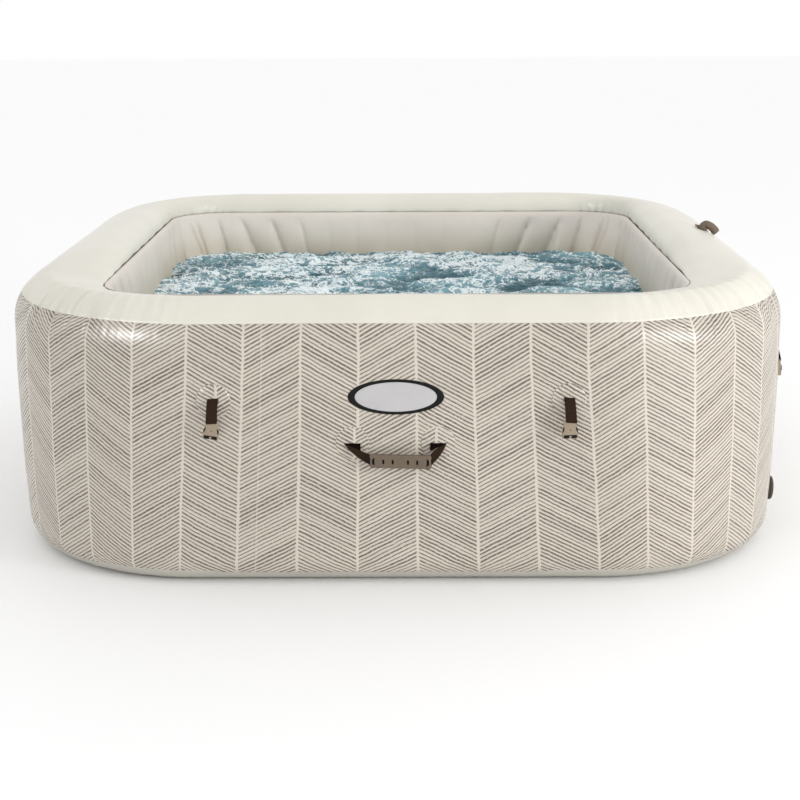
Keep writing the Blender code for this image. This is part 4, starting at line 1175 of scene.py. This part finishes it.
def screw_cap(name, place, radius, height, ribs, bar, look):
    """A grooved skirt, a sunk top, and a bar to turn it by: bar = (half length, half width, low, high)."""
    sunk = height - 0.0010
    profile = [
        (radius - 0.0030, 0.0), (radius - 0.0004, 0.0), (radius, 0.0006), (radius, height * 0.35),
        (radius, height * 0.70), (radius - 0.0005, height * 0.86), (radius - 0.0020, height),
        (radius - 0.0040, height), (radius - 0.0050, height - 0.0009), (radius - 0.0056, sunk),
        (0.004, sunk), (0.0004, sunk),
    ]
    half_length, half_width, low, high = bar
    bar_heights = (low, low + (high - low) * 0.55, high - 0.0012, high - 0.0004, high)
    loops = []
    for share, z in zip((1.0, 0.99, 0.97, 0.94, 0.90), bar_heights):
        narrow = share - (1 - share) * 3
        loops.append(level_box(half_length * share, half_width * narrow, half_width * 0.8, z, steps=8))
    skirt = lathe(profile, ribs * 8, ribs, 0.0011, range(2, 6))
    return solid(name, [skin(skirt), skin(loops)], [look], place)


def turned_piece(name, place, profile, soft):
    obj = solid(name, [skin(lathe(profile), ring=True)], [TAUPE], place)
    bevel = obj.modifiers.new("soft_edges", "BEVEL")
    bevel.width = soft
    bevel.segments = 2
    bevel.limit_method = "ANGLE"
    bevel.angle_limit = math.radians(35)
    return obj


def strainer(name, place):
    """A domed grid: five slots in a shallow dome."""
    dome = [
        (0.0004, -0.0113), (0.012, -0.0110), (0.020, -0.0100), (0.0255, -0.0082), (0.0290, -0.0050),
        (0.030, -0.0010), (0.030, 0.0),
    ]
    parts = [skin(lathe(dome))]
    # The slots are filled with dark plastic as painted shade in the holes.
    for row in (-2, -1, 0, 1, 2):
        y = row * 0.0075
        half = math.sqrt(0.0225**2 - y**2)
        depths = (-0.0045, -0.0112 + 0.0012 * abs(row))
        parts.append(skin([level_box(half, 0.0016, 0.0014, z, y) for z in depths], 1))
    return solid(name, parts, [TAUPE, DARK_PLASTIC_AND_PAINTED_SHADE], place)


def water_ports():
    pipe, bore, face, neck = 0.025, 0.021, 0.0045, 0.0150
    inner = INNER_HALF - HALF_WIDTH + wall_inset(PORT_Z)
    flange = [
        (bore, inner - 0.012), (0.031, inner - 0.012), (0.031, inner - 0.009), (pipe, inner - 0.009),
        (pipe, face - 0.0025), (0.036, face - 0.0025), (0.036, face - 0.0006), (0.0335, face),
        (pipe + 0.002, face), (pipe, face + 0.001), (pipe, neck), (bore, neck),
    ]
    bar = (0.022, 0.0045, 0.0135, 0.0221)
    for name, way in (("inlet", -1), ("outlet", 1)):
        wall = wall_place(RIGHT, PORT_MIDDLE + way * PORT_SPACING / 2, PORT_Z)
        stands_for(turned_piece(f"{name}_flange", axis_out(wall), flange, 0.0004), "root", f"{name}_port")
        cap = screw_cap(f"{name}_screw_cap", axis_out(wall, 0.0055), 0.0305, 0.0151, 24, bar, TAUPE)
        stands_for(cap, f"{name}_cap", f"{name}_cap")
        grid = strainer(f"{name}_strainer_grid", axis_out(wall, inner - 0.0125))
        stands_for(grid, "root", f"{name}_strainer")


def drain_and_valve():
    wall = wall_place(RIGHT, DRAIN_Y, DRAIN_Z)
    bar = (0.020, 0.0040, 0.0065, 0.0105)
    cap = screw_cap("drain_screw_cap", axis_out(wall, 0.0062), 0.0305, 0.0080, 28, bar, CAP_BROWN)
    stands_for(cap, "drain_cap", "drain_cap")
    wall = wall_place(RIGHT, VALVE_Y, VALVE_Z)
    seat = [
        (0.0135, 0.0090), (0.0165, 0.0090), (0.0165, 0.0036), (0.0172, 0.0030), (0.0280, 0.0023),
        (0.0290, 0.0016), (0.0290, 0.0006), (0.0170, 0.0006), (0.0170, -0.0240), (0.0060, -0.0240),
        (0.0060, -0.0215), (0.0135, -0.0215),
    ]
    body = turned_piece("inflation_valve_seat", axis_out(wall), seat, 0.0003)
    stands_for(body, "root", "inflation_valve_body")
    bar = (0.0150, 0.0030, 0.0080, 0.0125)
    cap = screw_cap("inflation_screw_cap", axis_out(wall, 0.0033), 0.0220, 0.0095, 20, bar, TAUPE)
    stands_for(cap, "inflation_cap", "inflation_valve_cap")


AIR_BORE = 0.0075
AIR_NECK = 0.0118
FLANGE_Z = 0.0050


def elbow(name, place):
    """A short bent pipe, thicker past its bend, with a beaded end that droops along the shoulder."""
    radius, start, bend = 0.0098, 0.0066, 0.0108
    rows = [(0.0, 0.0053, AIR_NECK), (0.0, 0.0060, AIR_NECK), (0.0, 0.0061, radius), (0.0, start, radius)]
    for i in range(1, 15):
        a = math.pi / 2 * i / 14
        swell = 0.0010 * step_up(a, 0.5, 1.3)
        rows.append((bend * (1 - math.cos(a)), start + bend * math.sin(a), radius + swell))
    for reach, drop, swell in (
        (0.017, 0.0004, 0.0012), (0.023, 0.0013, 0.0013), (0.029, 0.0036, 0.0013),
        (0.033, 0.0056, 0.0013), (0.0345, 0.0064, 0.0019), (0.0365, 0.0075, 0.0020),
        (0.0380, 0.0083, 0.0013), (0.0415, 0.0101, 0.0012), (0.0428, 0.0108, 0.0008), (0.043, 0.0109, 0.0003),
    ):
        rows.append((reach, start + bend - drop, radius + swell))
    side = Vector((0, 1, 0))
    outer, inner = [], []
    for i, (x, z, size) in enumerate(rows):
        ahead, back = rows[min(i + 1, len(rows) - 1)], rows[max(i - 1, 0)]
        up = side.cross(Vector((ahead[0] - back[0], 0, ahead[1] - back[1])).normalized())
        spokes = [side * math.cos(a) + up * math.sin(a) for a in turns(40)]
        outer.append([Vector((x, 0, z)) + spoke * size for spoke in spokes])
        inner.append([Vector((x, 0, z)) + spoke * AIR_BORE for spoke in spokes])
    return solid(name, [skin(outer + inner[::-1], ring=True)], [TAUPE], place)


def air_inlet():
    """The socket sits on the right shoulder: local Z leaves the shoulder square, X points outwards."""
    z = WIDEST_Z + (CREST_Z - WIDEST_Z) * math.sqrt(1 - (1 - ELBOW_INSET / SHOULDER_REACH) ** 2)
    place = Matrix.Translation((HALF_WIDTH - ELBOW_INSET, PORT_MIDDLE, z))
    place = place @ Matrix.Rotation(ELBOW_TILT, 4, "Y")
    stands_for(elbow("air_elbow_pipe", place), "air_elbow", "air_elbow")
    socket = [
        (AIR_BORE, -0.018), (AIR_NECK, -0.018), (AIR_NECK, 0.0008), (0.0215, 0.0008), (0.0215, 0.0014),
        (0.0205, 0.0022), (AIR_NECK, 0.0022), (AIR_NECK, FLANGE_Z), (AIR_BORE, FLANGE_Z),
    ]
    stands_for(turned_piece("air_inlet_seat", place, socket, 0.0002), "root", "air_inlet_socket")
    inside, lip, lip_z = AIR_NECK + 0.0004, 0.0102, FLANGE_Z + 0.0014
    collar = [
        (inside, 0.0026), (0.0158, 0.0026), (0.0158, 0.0040), (0.0158, 0.0060), (0.0150, 0.0072),
        (lip, 0.0072), (lip, lip_z), (inside, lip_z),
    ]
    rows = (
        (0.0148, 0.0052, 0.0019), (0.0200, 0.0050, 0.0018),
        (0.0214, 0.0042, 0.0013), (0.0218, 0.0032, 0.0007),
    )
    wing = []
    for reach, half_y, half_z in rows:
        edge = rounded_box(half_y, half_z, min(0.0009, half_z * 0.8))
        wing.append([(-reach, y, z + 0.0051) for y, z in edge])
    parts = [skin(lathe(collar, 160, 20, 0.0006, range(1, 4)), ring=True), skin(wing, 1)]
    ring = solid("air_elbow_nut", parts, [TAUPE, BEIGE], place)
    stands_for(ring, "elbow_collar", "air_elbow_collar")


def dress_nodes():
    """Gives each CAD node its material, by the record's slots."""
    looks = {
        "printed_vinyl": PRINT, "cream_vinyl": CREAM, "liner_vinyl": LINER_LOOK, "tie_web": TIES,
        "dark_webbing": WEBBING, "taupe_plastic": TAUPE, "beige_plastic": BEIGE, "dark_plastic": DARK_PLASTIC_AND_PAINTED_SHADE,
        "badge_face": PLATE, "pale_plastic": PALE, "seal_rubber": SEAL, "spring_steel": STEEL,
    }
    for part in frame["record"]["subparts"]:
        materials = frame["nodes"][part["node"]].data.materials
        materials.clear()
        materials.append(looks[part["material_slot"]])


# Stage: floor, lights and camera

LIGHTS = (  # name, place, aim, width, power
    ("key", (4.6, -3.4, 1.5), (0.8, -0.2, 0.35), 1.6, 108.0),
    ("left_window", (-3.4, -3.07, 2.3), (-0.62, -0.93, 0.6), 1.10, 105.0),
    ("right_window", (3.1, -3.3, 2.3), (0.66, -0.93, 0.6), 0.80, 32.0),
)
CAMERA_PLACE = (0.0337, -4.382, 1.335)
CAMERA_LENS = 70.7
CAMERA_PITCH = math.radians(14.5)
CAMERA_YAW = math.radians(0.41)
CAMERA_ROLL = math.radians(-0.285)
FLOOR_SIZE = 30.0


def stage():
    mesh = bpy.data.meshes.new("floor")
    through_bmesh(mesh, lambda bm: bmesh.ops.create_grid(bm, x_segments=1, y_segments=1, size=FLOOR_SIZE))
    mesh.materials.append(floor_look())
    link("floor", mesh)
    world = bpy.data.worlds.new("studio")
    world.use_nodes = True
    background = world.node_tree.nodes["Background"]
    background.inputs["Color"].default_value = (1.0, 1.0, 1.0, 1.0)
    background.inputs["Strength"].default_value = 1.0
    scene.world = world
    for name, place, aim, width, power in LIGHTS:
        light = bpy.data.lights.new(name, "AREA")
        light.shape = "RECTANGLE"
        light.size = width
        light.size_y = width * 0.8
        light.energy = power
        obj = link(name, light, Matrix.Translation(place))
        obj.rotation_euler = (Vector(aim) - Vector(place)).to_track_quat("-Z", "Y").to_euler()
        obj.visible_diffuse = not name.endswith("window")  # the windows are only there to be reflected


def camera():
    data = bpy.data.cameras.new("camera")
    data.sensor_width = 36.0
    data.lens = CAMERA_LENS
    turn = Matrix.Rotation(CAMERA_YAW, 4, "Z") @ Matrix.Rotation(math.pi / 2 - CAMERA_PITCH, 4, "X")
    place = Matrix.Translation(CAMERA_PLACE) @ turn @ Matrix.Rotation(CAMERA_ROLL, 4, "Z")
    scene.camera = link("camera", data, place)


outer_wall()
top_sheet()
inner_wall()
base_sheet()
water()
dress_nodes()
cover_locks()
handles()
badge()
water_ports()
drain_and_valve()
air_inlet()
stage()
camera()
scene.view_settings.view_transform = "Standard"
